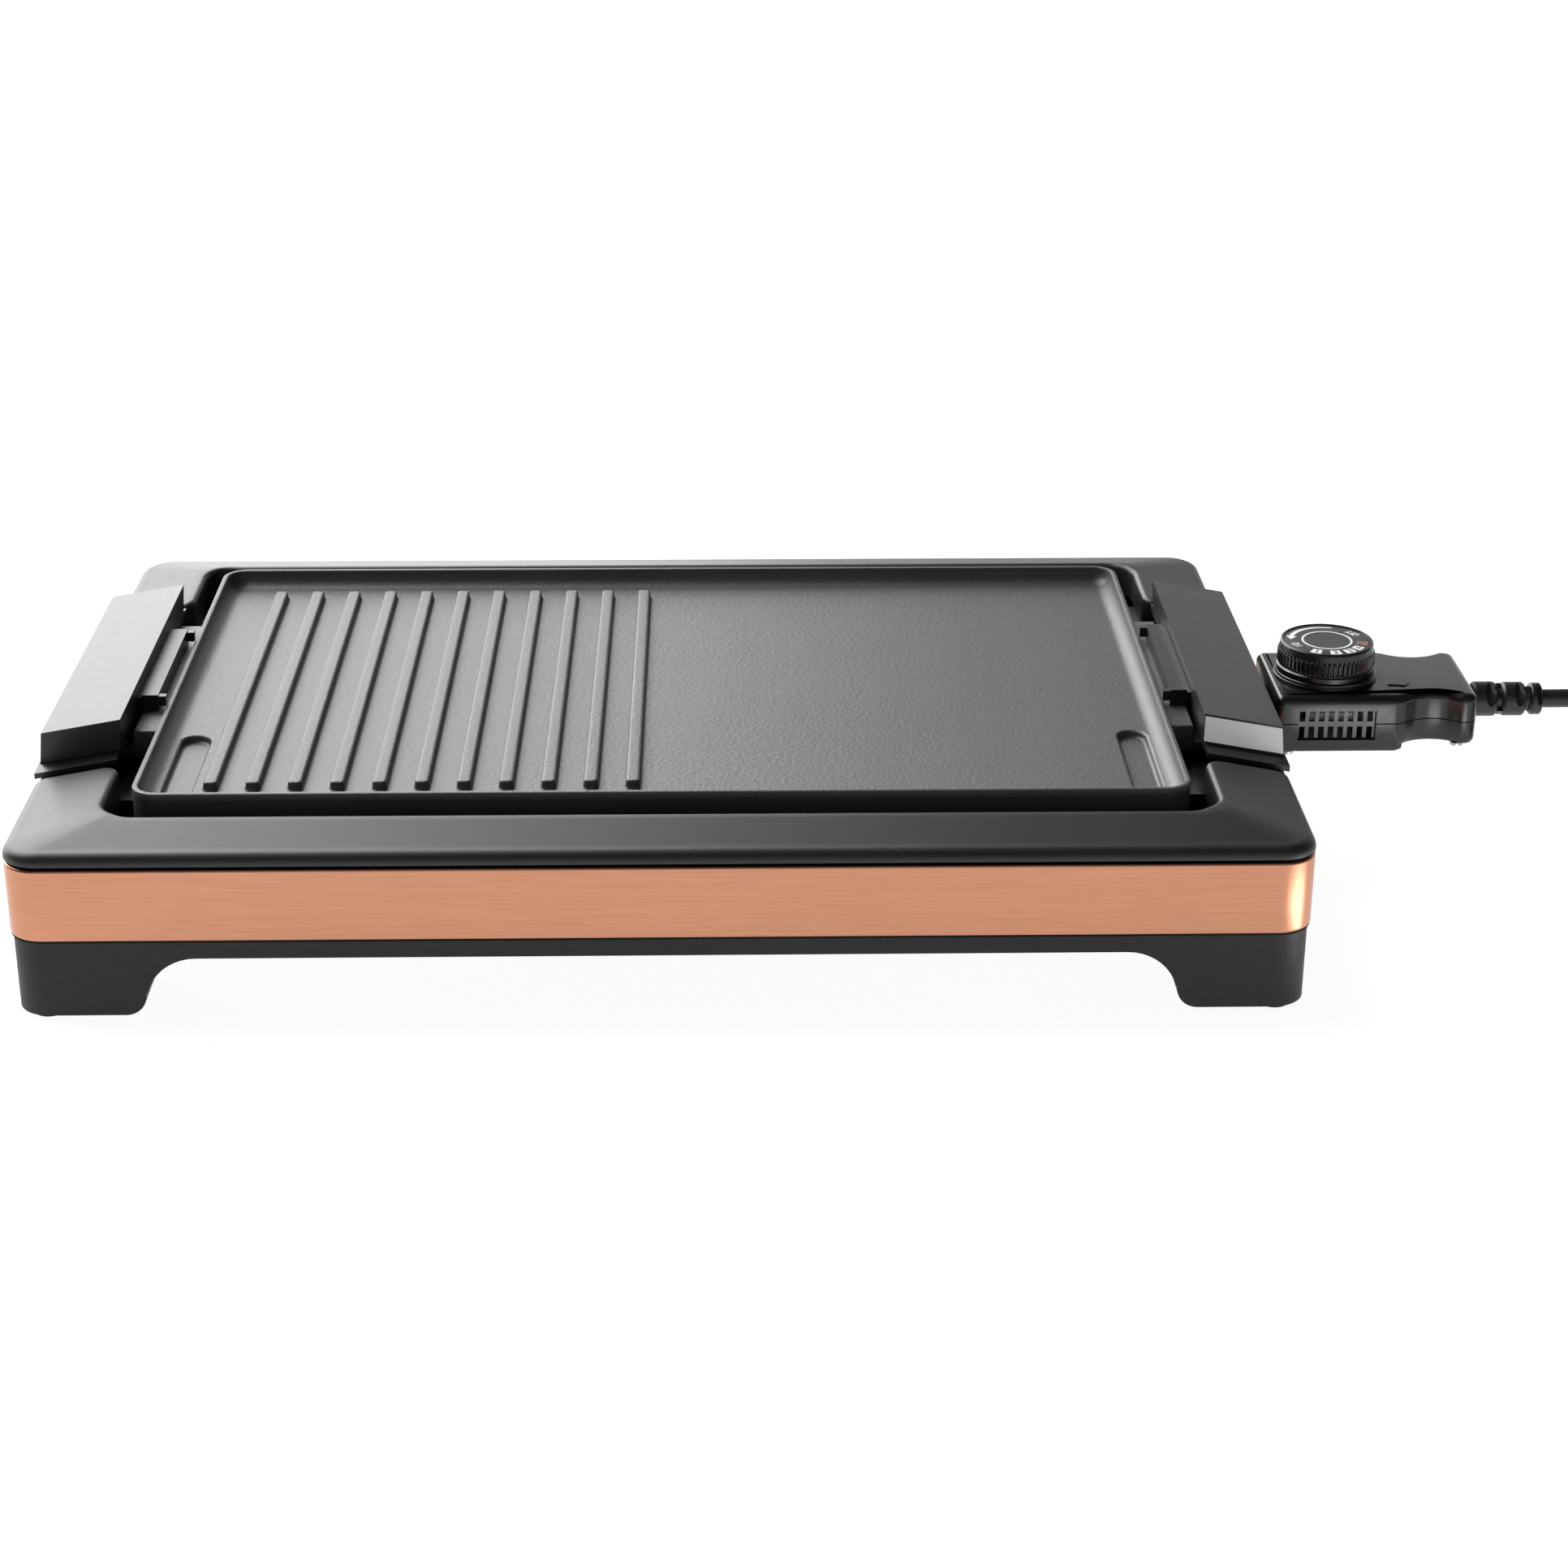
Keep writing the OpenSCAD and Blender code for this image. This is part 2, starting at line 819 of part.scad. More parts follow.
module probe_rod() {
    color("#c4c6c8")
        placed()
            translate([132, 0, pin_z])
                rotate([0, 90, 0])
                    cylinder(r = 2.5, h = ctl_x0 + 16 - 132, $fn = 32);
}

module thermostat_frame() {
    color("#8f9193")
        placed()
            difference() {
                union() {
                    translate([ctl_x0 + 16.2, -9, 53.2])
                        cube([20, 18, 1.2]);
                    translate([ctl_x0 + 16.2, -9, 53.2])
                        cube([1.2, 18, 12]);
                    translate([ctl_x0 + 16.2, -9, 64])
                        cube([20, 18, 1.2]);
                    translate([ctl_x0 + 35, -9, 53.2])
                        cube([1.2, 18, 12]);
                }
                translate([knob_x, 0, 60])
                    cylinder(r = 3.3, h = 12, $fn = 32);
            }
}

module switch_blades() {
    color("#c08a4a")
        placed()
            for (z = [56.5, 58.8])
                translate([ctl_x0 + 17.4, -3.5, z])
                    cube([17.6, 7, 0.6]);
}

module terminal_block() {
    color("#e6e2d6")
        placed()
            translate([ctl_x0 + 42, -10, 53.5])
                difference() {
                    cube([12, 20, 7]);
                    for (y = [4, 10, 16])
                        translate([-1, y, 3.5])
                            rotate([0, 90, 0])
                                cylinder(r = 1.6, h = 20, $fn = 24);
                }
}

module cord_clamp() {
    color("#6a6a6c")
        placed()
            difference() {
                translate([ctl_x2 - 18, -9, grip_z0 + 2.1])
                    cube([8, 18, 13.9]);
                translate([ctl_x2 - 20, 0, ctl_zm])
                    rotate([0, 90, 0])
                        cylinder(r = 4.2, h = 20, $fn = 48);
            }
}

module control_screws() {
    color("#b9bbbd")
        placed()
            for (x = [ctl_x0 + 6.2, ctl_x2 - 7], s = [-1, 1])
                translate([x, s * (x > ctl_x1 ? 21.8 : 23.4), 0]) {
                    translate([0, 0, x > ctl_x1 ? grip_z0 - 1.2 : ctl_z0 - 1.2])
                        cylinder(r = 2.6, h = 1.2, $fn = 32);
                    translate([0, 0, x > ctl_x1 ? grip_z0 - e : ctl_z0 - e])
                        cylinder(r = 1.2, h = x > ctl_x1 ? 15 : 17.5, $fn = 32);
                }
}

module knob_collar() {
    color("#1d1d1f")
        placed()
            translate([knob_x, 0, ctl_z1])
                difference() {
                    union() {
                        cylinder(r = 20.9, h = 1.6, $fn = 96);
                        cylinder(r = 20.2, h = 2.6, $fn = 96);
                    }
                    translate([0, 0, -1])
                        cylinder(r = 4, h = 6, $fn = 48);
                }
}

module knob() {
    kz = ctl_z1 + 2.9;
    color("#232325")
        placed()
            translate([knob_x, 0, 0])
                difference() {
                    union() {
                        translate([0, 0, kz])
                            cylinder(r = knob_r + 0.2, h = 3, $fn = 96);
                        translate([0, 0, kz])
                            cylinder(r = knob_r - 0.3, h = knob_z - kz - 1.2, $fn = 96);
                        translate([0, 0, kz])
                            cylinder(r = knob_r - 1.1, h = knob_z - kz, $fn = 96);
                        for (i = [0:59])
                            rotate([0, 0, i * 6])
                                translate([knob_r - 1, -0.45, kz + 3])
                                    cube([1, 0.9, knob_z - kz - 5.4]);
                    }
                    translate([0, 0, knob_z - 0.8])
                        cylinder(r = knob_r - 2.2, h = 2, $fn = 96);
                    translate([0, 0, kz - 1])
                        cylinder(r = 3, h = 9, $fn = 48);
                    translate([0, 0, kz - 1])
                        difference() {
                            cylinder(r = knob_r - 3, h = 8, $fn = 96);
                            cylinder(r = 6, h = 8, $fn = 48);
                        }
                }
}

module knob_dial() {
    color("#3a3a3c")
        placed()
            translate([knob_x, 0, knob_z - 0.8])
                difference() {
                    cylinder(r = knob_r - 2.2, h = 0.6, $fn = 96);
                    translate([0, 0, 0.4])
                        difference() {
                            cylinder(r = 10.2, h = 1, $fn = 96);
                            cylinder(r = 9.4, h = 3, $fn = 96, center = true);
                        }
                }
}

module knob_shaft() {
    color("#a8aaac")
        placed()
            translate([knob_x, 0, 60.2])
                cylinder(r = 3, h = ctl_z1 + 2.9 + 8 - 60.2, $fn = 32);
}

// ---------- mains lead ----------

module strain_relief() {
    color("#202022")
        placed()
            translate([ctl_x2 - 20, 0, ctl_zm])
                rotate([0, 90, 0])
                    union() {
                        cylinder(r = 4.2, h = relief_l + 20, $fn = 48);
                        translate([0, 0, 20])
                            cylinder(r = 5.4, h = relief_l - 2, $fn = 48);
                        for (g = [[24.5, 9.8, 7.1], [36, 9.4, 7], [46.8, 5.2, 6.6]])
                            translate([0, 0, g[0]])
                                cylinder(r = g[2], h = g[1], $fn = 48);
                    }
}

function sub(a, b) = [a[0] - b[0], a[1] - b[1], a[2] - b[2]];
function unit(a) = a / norm(a);
function tangent(p, i) =
    unit(sub(p[min(i + 1, len(p) - 1)], p[max(i - 1, 0)]));
// a ring of n corners square to the route at point i
function ring(p, i, n, r) =
    let (t = tangent(p, i), side = unit(cross(t, abs(t[2]) > 0.95 ? [0, 1, 0] : [0, 0, 1])),
         up = cross(side, t))
    [for (k = [0:n - 1]) p[i] + r * (cos((k + 0.5) * 360 / n) * side
                                     + sin((k + 0.5) * 360 / n) * up)];

module tube(p, n, r) {
    m = len(p);
    pts = [for (i = [0:m - 1]) each ring(p, i, n, r)];
    sides = [for (i = [0:m - 2], k = [0:n - 1])
             [i * n + k, i * n + (k + 1) % n, (i + 1) * n + (k + 1) % n, (i + 1) * n + k]];
    ends = [[for (k = [0:n - 1]) n - 1 - k], [for (k = [0:n - 1]) (m - 1) * n + k]];
    polyhedron(points = pts, faces = concat([for (f = sides) [f[3], f[2], f[1], f[0]]],
                                            [for (f = ends) [for (k = [n - 1:-1:0]) f[k]]]));
}

module cord() {
    color("#1c1c1e")
        placed()
            tube([for (q = lead_pts) [ctl_x2 + q[0], q[1], q[2]]], 12, cord_d / 2);
}

module cord_tail() {
    color("#1c1c1e")
        placed()
            tube([for (q = tail_pts) [ctl_x2 + q[0], q[1], q[2]]], 12, cord_d / 2);
}

module cord_coil() {
    color("#1c1c1e")
        placed()
            translate([coil_x, coil_y, coil_z])
                rotate_extrude($fn = 96) {
                    translate([coil_ri, 3.8])
                        square([coil_ro - coil_ri, coil_h - 7.6]);
                    translate([coil_ri + 3.8, 0])
                        square([coil_ro - coil_ri - 7.6, coil_h]);
                    for (x = [coil_ri + 3.8, coil_ro - 3.8], z = [3.8, coil_h - 3.8])
                        translate([x, z])
                            circle(r = 3.8, $fn = 32);
                }
}

module coil_tie() {
    color("#2a2a2c")
        placed()
            translate([coil_x, coil_y, 0])
                rotate([0, 0, 225])
                    difference() {
                        translate([coil_ri - 1, -4, 0])
                            cube([coil_ro - coil_ri + 2, 8, coil_h + 2]);
                        translate([coil_ri - 0.02, -5, coil_z])
                            cube([coil_ro - coil_ri + 0.04, 10, coil_h]);
                    }
}

module plug_body() {
    color("#1e1e20")
        placed()
            translate([ctl_x2 + 182.3, -95, 19])
                rotate([90, 0, 0])
                    difference() {
                        union() {
                            cylinder(r = 6.5, h = 12, $fn = 48);
                            translate([0, 0, 10])
                                cylinder(r = 12, h = 8, $fn = 48);
                            translate([0, 0, 16])
                                cylinder(r = 18.8, h = 20, $fn = 96);
                        }
                        for (s = [-1, 1]) {
                            translate([s * 9.5, 0, 20])
                                cylinder(r = 2.4, h = 30, $fn = 32);
                            translate([-3, s * 17.5 - 2.5, 20])
                                cube([6, 5, 30]);
                        }
                    }
}

module plug_pins() {
    color("#c9ccce")
        placed()
            translate([ctl_x2 + 182.3, -95, 19])
                rotate([90, 0, 0])
                    for (s = [-1, 1])
                        translate([s * 9.5, 0, 20])
                            cylinder(r = 2.4, h = 35, $fn = 32);
}

module plug_earth_clips() {
    color("#c9ccce")
        placed()
            translate([ctl_x2 + 182.3, -95, 19])
                rotate([90, 0, 0])
                    for (s = [-1, 1])
                        translate([-2.5, s * 16.5 - 0.5, 20])
                            cube([5, 1, 15]);
}

base_housing();
trim_band();
top_cover();
handle_sills();
support_rail_left();
support_rail_right();
foot_front_left();
foot_front_right();
foot_back_left();
foot_back_right();
screw_posts();
cover_screws();
drip_tray();
griddle_plate();
plate_underside();
heating_element();
element_pins();
bottom_shield();
shield_screws();
handle_left();
handle_right();
handle_block_left();
handle_block_right();
handle_screws();
socket_shroud();
earth_tab();
control_bottom_shell();
control_top_shell();
contact_block();
contact_sockets();
probe_rod();
thermostat_frame();
switch_blades();
terminal_block();
cord_clamp();
control_screws();
knob_collar();
knob();
knob_dial();
knob_shaft();
strain_relief();
cord();
cord_coil();
coil_tie();
cord_tail();
plug_body();
plug_pins();
plug_earth_clips();
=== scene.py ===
"""Looks for the electric griddle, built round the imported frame.

Lengths are in millimetres, with X from the base's centre, Y to the back and Z up from the
table. piece() and loose() turn them into metres in the shared frame. Angles are in degrees.
"""
import json
import math

import bpy
import bmesh
from mathutils import Matrix, Vector


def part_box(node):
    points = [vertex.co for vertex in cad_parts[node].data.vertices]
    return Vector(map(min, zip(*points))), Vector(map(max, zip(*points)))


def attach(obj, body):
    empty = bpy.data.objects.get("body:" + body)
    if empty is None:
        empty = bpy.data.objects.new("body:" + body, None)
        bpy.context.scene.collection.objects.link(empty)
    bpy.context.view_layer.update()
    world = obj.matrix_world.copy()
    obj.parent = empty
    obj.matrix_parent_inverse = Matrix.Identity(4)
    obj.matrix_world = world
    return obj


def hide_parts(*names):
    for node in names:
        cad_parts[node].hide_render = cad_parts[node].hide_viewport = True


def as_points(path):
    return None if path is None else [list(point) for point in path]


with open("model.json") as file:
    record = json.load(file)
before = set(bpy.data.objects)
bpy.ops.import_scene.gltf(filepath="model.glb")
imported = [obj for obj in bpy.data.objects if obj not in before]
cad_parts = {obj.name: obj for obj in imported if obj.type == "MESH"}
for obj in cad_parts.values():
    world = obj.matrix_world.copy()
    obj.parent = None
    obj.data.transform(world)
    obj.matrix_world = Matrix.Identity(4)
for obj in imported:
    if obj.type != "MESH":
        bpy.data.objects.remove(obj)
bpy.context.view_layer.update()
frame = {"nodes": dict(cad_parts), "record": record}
scene = bpy.context.scene
scene.view_settings.view_transform = "Standard"

MM = 0.001
lo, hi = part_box("trim_band")
XC = (lo.x + hi.x) / 2 / MM  # the base's centre on X, in millimetres
RECORD_SLOTS = {p["node"]: p["material_slot"] for p in frame["record"]["subparts"]}

# the base
HALF_W = round((hi.x - lo.x) / 2 / MM, 2)
HALF_D = round(hi.y / MM, 2)
CORNER_R = 14
BAND_Z0, BAND_Z1 = round(lo.z / MM, 2), round(hi.z / MM, 2)
GAP_Y = 27  # half the gap that the control stands in

# the cooking plate
PLATE_X, PLATE_Y, PLATE_R = 198, 125.5, 10
SKIRT_Z, RIM_Z, FLOOR_Z = 59.0, 76.0, 69.0
UNDER_Z = FLOOR_Z - 4
SLOT_X, SLOT_Y = 183.6, -57.5  # the round end of a drain channel
HOLE_Y = -108  # its drain hole
RIB_N, RIB_X0, RIB_PITCH = 11, -170.9, 15.92

# the handles
HANDLE_X0, HANDLE_X1 = 208.2, 239.2
HANDLE_ZI, HANDLE_ZO = 86.3, 80.7
HANDLE_Y = 77  # half a handle's length

# the control and its lead
CONTROL_X0, CONTROL_X1, CONTROL_X2 = 246.0, 298.0, 328.5
CONTROL_Y = 27.0
SPLIT_Z = 61.0  # the joint between its two shells
KNOB_X = 270
LEAD_R = 3.8
LEAD_Z = 61  # height of the lead's axis where it leaves
LEAD_X = CONTROL_X2 + 31.5  # end of the strain relief
LAY_Z = 4.8  # height of the lead's axis where it lies
BEND_R = 31.5
COIL = (CONTROL_X2 + 136.5, -45.8)
COIL_R = 45.8
LANE = 7.7  # distance between neighbouring turns


def cos(a):
    return math.cos(math.radians(a))


def sin(a):
    return math.sin(math.radians(a))


def clamp(v, a, b):
    return max(a, min(b, v))


# ---------------------------------------------------------------- camera

def camera():
    data = bpy.data.cameras.new("camera")
    data.sensor_width = 36
    data.lens = 70.08
    data.clip_start = 0.05
    data.clip_end = 100
    obj = bpy.data.objects.new("camera", data)
    scene.collection.objects.link(obj)
    yaw, pitch, roll = 1.301, 23.375, 0.178
    fwd = Vector((sin(yaw) * cos(pitch), cos(yaw) * cos(pitch), -sin(pitch)))
    right = Vector((cos(yaw), -sin(yaw), 0))
    up = right.cross(fwd)
    r2 = cos(roll) * right + sin(roll) * up
    u2 = -sin(roll) * right + cos(roll) * up
    m = Matrix((r2, u2, -fwd)).transposed().to_4x4()
    m.translation = Vector(((21.38 + XC) * MM, -1.16537, 0.52827))
    obj.matrix_world = m
    scene.camera = obj


camera()

# ---------------------------------------------------------------- materials

def nodes_of(m):
    m.use_nodes = True
    t = m.node_tree
    return t, t.nodes, t.links, t.nodes["Principled BSDF"]


def coords(t, scale=(1, 1, 1)):
    tc = t.nodes.new("ShaderNodeTexCoord")
    mp = t.nodes.new("ShaderNodeMapping")
    mp.inputs["Scale"].default_value = scale
    t.links.new(tc.outputs["Object"], mp.inputs["Vector"])
    return mp.outputs["Vector"]


def noise(t, vec, scale, detail=2.0, rough=0.5):
    n = t.nodes.new("ShaderNodeTexNoise")
    n.inputs["Scale"].default_value = scale
    n.inputs["Detail"].default_value = detail
    n.inputs["Roughness"].default_value = rough
    t.links.new(vec, n.inputs["Vector"])
    return n.outputs["Fac"]


def span(t, val, a0, a1, b0, b1):
    m = t.nodes.new("ShaderNodeMapRange")
    m.inputs["From Min"].default_value = a0
    m.inputs["From Max"].default_value = a1
    m.inputs["To Min"].default_value = b0
    m.inputs["To Max"].default_value = b1
    t.links.new(val, m.inputs["Value"])
    return m.outputs["Result"]


def ramp(t, val, stops):
    r = t.nodes.new("ShaderNodeValToRGB")
    e = r.color_ramp.elements
    while len(e) < len(stops):
        e.new(0.5)
    for k, (p, c) in enumerate(stops):
        e[k].position = p
        e[k].color = (*c, 1)
    t.links.new(val, r.inputs["Fac"])
    return r.outputs["Color"]


def bump(t, height, strength, dist, normal=None):
    b = t.nodes.new("ShaderNodeBump")
    b.inputs["Strength"].default_value = strength
    b.inputs["Distance"].default_value = dist
    t.links.new(height, b.inputs["Height"])
    if normal is not None:
        t.links.new(normal, b.inputs["Normal"])
    return b.outputs["Normal"]


def plastic(name, base, rough, grain=1400, grain_depth=0.00003, strength=0.25, spec=0.5,
            spread=0.05, lift=1.35):
    """Moulded plastic: fine grain, soft clouds in the colour and dust in the gloss."""
    m = bpy.data.materials.new(name)
    t, _, l, p = nodes_of(m)
    vec = coords(t)
    big = noise(t, vec, 18, 3)
    fine = noise(t, vec, grain, 2, 0.6)
    dust = noise(t, vec, 260, 4, 0.7)
    l.new(ramp(t, big, [(0.3, base), (0.75, tuple(c * lift for c in base))]),
          p.inputs["Base Color"])
    l.new(span(t, dust, 0.3, 0.7, rough - spread, rough + spread), p.inputs["Roughness"])
    l.new(bump(t, fine, strength, grain_depth), p.inputs["Normal"])
    p.inputs["Specular IOR Level"].default_value = spec
    return m


def metal(name, base, rough, brush=(1, 1, 1), scale=300):
    """Bare metal with brush lines; brush squeezes them along an axis."""
    m = bpy.data.materials.new(name)
    t, _, l, p = nodes_of(m)
    vec = coords(t, brush)
    lines = noise(t, vec, scale, 3, 0.6)
    big = noise(t, coords(t), 12, 2)
    l.new(ramp(t, lines, [(0.3, tuple(c * 0.8 for c in base)), (0.7, base)]),
          p.inputs["Base Color"])
    l.new(span(t, big, 0.3, 0.7, rough - 0.04, rough + 0.05), p.inputs["Roughness"])
    l.new(bump(t, lines, 0.1, 0.00002), p.inputs["Normal"])
    p.inputs["Metallic"].default_value = 1.0
    return m


def copper():
    """The band: fine lines that run along it, on a slow change of gloss."""
    m = bpy.data.materials.new("brushed_copper")
    t, n, l, p = nodes_of(m)
    fine = noise(t, coords(t, (45, 45, 7000)), 1.0, 3, 0.7)
    mid = noise(t, coords(t, (14, 14, 2600)), 1.0, 2, 0.5)
    big = noise(t, coords(t, (1, 1, 0.2)), 7, 2)
    mixed = n.new("ShaderNodeMix")
    mixed.inputs["Factor"].default_value = 0.3
    l.new(fine, mixed.inputs["A"])
    l.new(mid, mixed.inputs["B"])
    both = mixed.outputs["Result"]
    l.new(ramp(t, both, [(0.3, (0.46, 0.205, 0.122)), (0.5, (0.53, 0.245, 0.15)),
                         (0.7, (0.60, 0.29, 0.18))]), p.inputs["Base Color"])
    l.new(span(t, big, 0.3, 0.7, 0.24, 0.31), p.inputs["Roughness"])
    l.new(bump(t, both, 0.08, 0.00003), p.inputs["Normal"])
    p.inputs["Metallic"].default_value = 1.0
    return m


def coating():
    """The plate's non-stick coating: an orange-peel skin with fine flecks."""
    m = bpy.data.materials.new("plate_coating")
    t, _, l, p = nodes_of(m)
    vec = coords(t)
    peel = noise(t, vec, 620, 2, 0.5)
    fleck = noise(t, vec, 2200, 1, 0.5)
    wear = noise(t, vec, 9, 4, 0.6)
    l.new(ramp(t, wear, [(0.3, (0.042, 0.042, 0.043)), (0.7, (0.054, 0.054, 0.055))]),
          p.inputs["Base Color"])
    l.new(span(t, fleck, 0.3, 0.7, 0.42, 0.60), p.inputs["Roughness"])
    b1 = bump(t, peel, 0.6, 0.0003)
    l.new(bump(t, fleck, 0.35, 0.00004, b1), p.inputs["Normal"])
    p.inputs["Specular IOR Level"].default_value = 0.85
    return m


def plain(name, color, rough=0.5):
    return plastic(name, color, rough, 1800, 0.00001, 0.1, lift=1.1)


M = {
    "housing_plastic": plastic("housing_plastic", (0.008, 0.008, 0.0085), 0.52, spec=0.38),
    "cover_plastic": plastic("cover_plastic", (0.013, 0.013, 0.014), 0.44, 1500, 0.00005, 0.4,
                             spread=0.015),
    "handle_plastic": plastic("handle_plastic", (0.010, 0.010, 0.011), 0.36, 1300, 0.00002, 0.15,
                              spread=0.015),
    "control_plastic": plastic("control_plastic", (0.010, 0.010, 0.011), 0.22, 1800, 0.000008, 0.1),
    "knob_plastic": plastic("knob_plastic", (0.009, 0.009, 0.010), 0.26, 1800, 0.000008, 0.1),
    "dial_face": plastic("dial_face", (0.035, 0.035, 0.036), 0.45, 1500, 0.00001, 0.15),
    "copper_band": copper(),
    "plate_coating": coating(),
    "tray_metal": metal("tray_metal", (0.3, 0.305, 0.31), 0.42, (1, 14, 14), 90),
    "sheet_steel": metal("sheet_steel", (0.5, 0.5, 0.51), 0.3, (1, 20, 20), 90),
    "rail_metal": plastic("rail_metal", (0.012, 0.012, 0.013), 0.3, 900, 0.00004, 0.3, 0.7),
    "element_metal": metal("element_metal", (0.2, 0.19, 0.18), 0.45),
    "contact_metal": metal("contact_metal", (0.75, 0.75, 0.76), 0.18, (1, 30, 30), 60),
    "brass": metal("brass", (0.72, 0.52, 0.24), 0.28, (1, 20, 20), 60),
    "screw_steel": metal("screw_steel", (0.6, 0.6, 0.61), 0.3, (20, 20, 1), 60),
    "foot_rubber": plastic("foot_rubber", (0.013, 0.013, 0.013), 0.7, 700, 0.00008, 0.4),
    "cord_rubber": plastic("cord_rubber", (0.012, 0.012, 0.012), 0.42, 900, 0.00003, 0.2),
    "insulator": plastic("insulator", (0.05, 0.03, 0.022), 0.5, 500, 0.00006, 0.3),
    "ceramic_white": plastic("ceramic_white", (0.6, 0.58, 0.52), 0.5, 500, 0.00005, 0.2, lift=1.1),
}
PRINT = plain("dial_print", (0.86, 0.86, 0.85), 0.5)
PRINT_HOT = plain("dial_print_hot", (0.42, 0.22, 0.16), 0.5)
PRINT_DARK = plain("dial_print_dark", (0.03, 0.03, 0.03), 0.5)
# Light grey with an emission glow: painted highlight for the bright front end of the right handle.
END_PAINTED_GLOW = plain("handle_end_painted_glow", (0.5, 0.495, 0.497), 0.9)
glow = END_PAINTED_GLOW.node_tree.nodes["Principled BSDF"].inputs
glow["Emission Color"].default_value = (1, 0.99, 0.99, 1)
glow["Emission Strength"].default_value = 0.2
# Near-black and matte: painted shadow for the gap under the band's lower edge.
SHADOW_GAP_BLACK = plain("painted_shadow_gap", (0.001, 0.001, 0.001), 1.0)

for node, slot in RECORD_SLOTS.items():
    o = frame["nodes"][node]
    o.data.materials.clear()
    o.data.materials.append(M[slot])

# ---------------------------------------------------------------- mesh helpers

def piece(name, verts, faces, body, slot, replaces=(), sharp=32, material=None, bevel=0.0):
    """A new object in the frame, riding on body, with its material slot and its edges."""
    me = bpy.data.meshes.new(name)
    me.from_pydata([((x + XC) * MM, y * MM, z * MM) for x, y, z in verts], [], faces)
    bm = bmesh.new()
    bm.from_mesh(me)
    bmesh.ops.remove_doubles(bm, verts=bm.verts, dist=1e-7)
    bmesh.ops.dissolve_degenerate(bm, dist=1e-7, edges=bm.edges)
    bmesh.ops.recalc_face_normals(bm, faces=bm.faces)
    bm.to_mesh(me)
    bm.free()
    me.shade_smooth()
    me.set_sharp_from_angle(angle=math.radians(sharp))
    o = bpy.data.objects.new(name, me)
    scene.collection.objects.link(o)
    me.materials.append(material or M[slot])
    if bevel:
        b = o.modifiers.new("edge", "BEVEL")
        b.width = bevel * MM
        b.segments = 2
        b.limit_method = "ANGLE"
        b.angle_limit = math.radians(35)
    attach(o, body)
    if replaces:
        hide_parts(*replaces)
    return o


class Build:
    """Collects closed shells into one piece."""

    def __init__(self):
        self.v, self.f = [], []

    def loft(self, rings, closed=False):
        """Skins equal rings; the ends are capped, or joined when closed."""
        n = len(rings[0])
        base = len(self.v)
        for r in rings:
            self.v.extend(r)
        m = len(rings)
        for j in range(m if closed else m - 1):
            a, b = base + j * n, base + ((j + 1) % m) * n
            for k in range(n):
                k2 = (k + 1) % n
                self.f.append((a + k, a + k2, b + k2, b + k))
        if not closed:
            self.f.append(tuple(base + k for k in range(n))[::-1])
            self.f.append(tuple(base + (m - 1) * n + k for k in range(n)))

    def box(self, x0, y0, z0, x1, y1, z1):
        self.loft([[(x0, y0, z), (x1, y0, z), (x1, y1, z), (x0, y1, z)] for z in (z0, z1)])

    def turn(self, profile, c, axis="z", n=64, wave=None, closed=False):
        """Revolves (radius, height) pairs about an axis through c."""
        rings = []
        for r, h in profile:
            ring = []
            for k in range(n):
                a = 360 * k / n
                rr = r + (wave(a, r, h) if wave else 0)
                p, q = rr * cos(a), rr * sin(a)
                if axis == "z":
                    ring.append((c[0] + p, c[1] + q, c[2] + h))
                elif axis == "x":
                    ring.append((c[0] + h, c[1] + p, c[2] + q))
                else:
                    ring.append((c[0] + p, c[1] - h, c[2] + q))
            rings.append(ring)
        self.loft(rings, closed=closed)

    def make(self, *args, **kw):
        return piece(args[0], self.v, self.f, *args[1:], **kw)


def rring(a, b, r, z, n=10):
    """A rounded rectangle of half sides a and b with corner radius r, at height z."""
    pts = []
    for sx, sy, a0 in ((1, 1, 0), (-1, 1, 90), (-1, -1, 180), (1, -1, 270)):
        for k in range(n + 1):
            t = a0 + 90 * k / n
            pts.append((sx * (a - r) + r * cos(t), sy * (b - r) + r * sin(t), z))
    return pts


def cutaway(obj, cutter, operation="DIFFERENCE"):
    """Takes the cutter's shape out of obj, or joins it, and keeps the result as plain mesh."""
    m = obj.modifiers.new("cut", "BOOLEAN")
    m.operation = operation
    m.solver = "EXACT"
    m.object = cutter
    bpy.context.view_layer.update()
    dg = bpy.context.evaluated_depsgraph_get()
    me = bpy.data.meshes.new_from_object(obj.evaluated_get(dg))
    obj.modifiers.remove(m)
    me.name = obj.name
    obj.data = me
    bpy.data.objects.remove(cutter)


def from_mesh(obj):
    """Takes a working object's mesh back into a Build, and the object away."""
    b = Build()
    b.v = [((v.co.x / MM) - XC, v.co.y / MM, v.co.z / MM) for v in obj.data.vertices]
    b.f = [tuple(p.vertices) for p in obj.data.polygons]
    bpy.data.objects.remove(obj)
    return b


def loose(b, name):
    """A working object that is cut or cuts, and isn't a piece yet."""
    me = bpy.data.meshes.new(name)
    me.from_pydata([((x + XC) * MM, y * MM, z * MM) for x, y, z in b.v], [], b.f)
    bm = bmesh.new()
    bm.from_mesh(me)
    bmesh.ops.recalc_face_normals(bm, faces=bm.faces)
    bm.to_mesh(me)
    bm.free()
    o = bpy.data.objects.new(name, me)
    scene.collection.objects.link(o)
    return o


# ---------------------------------------------------------------- mains lead

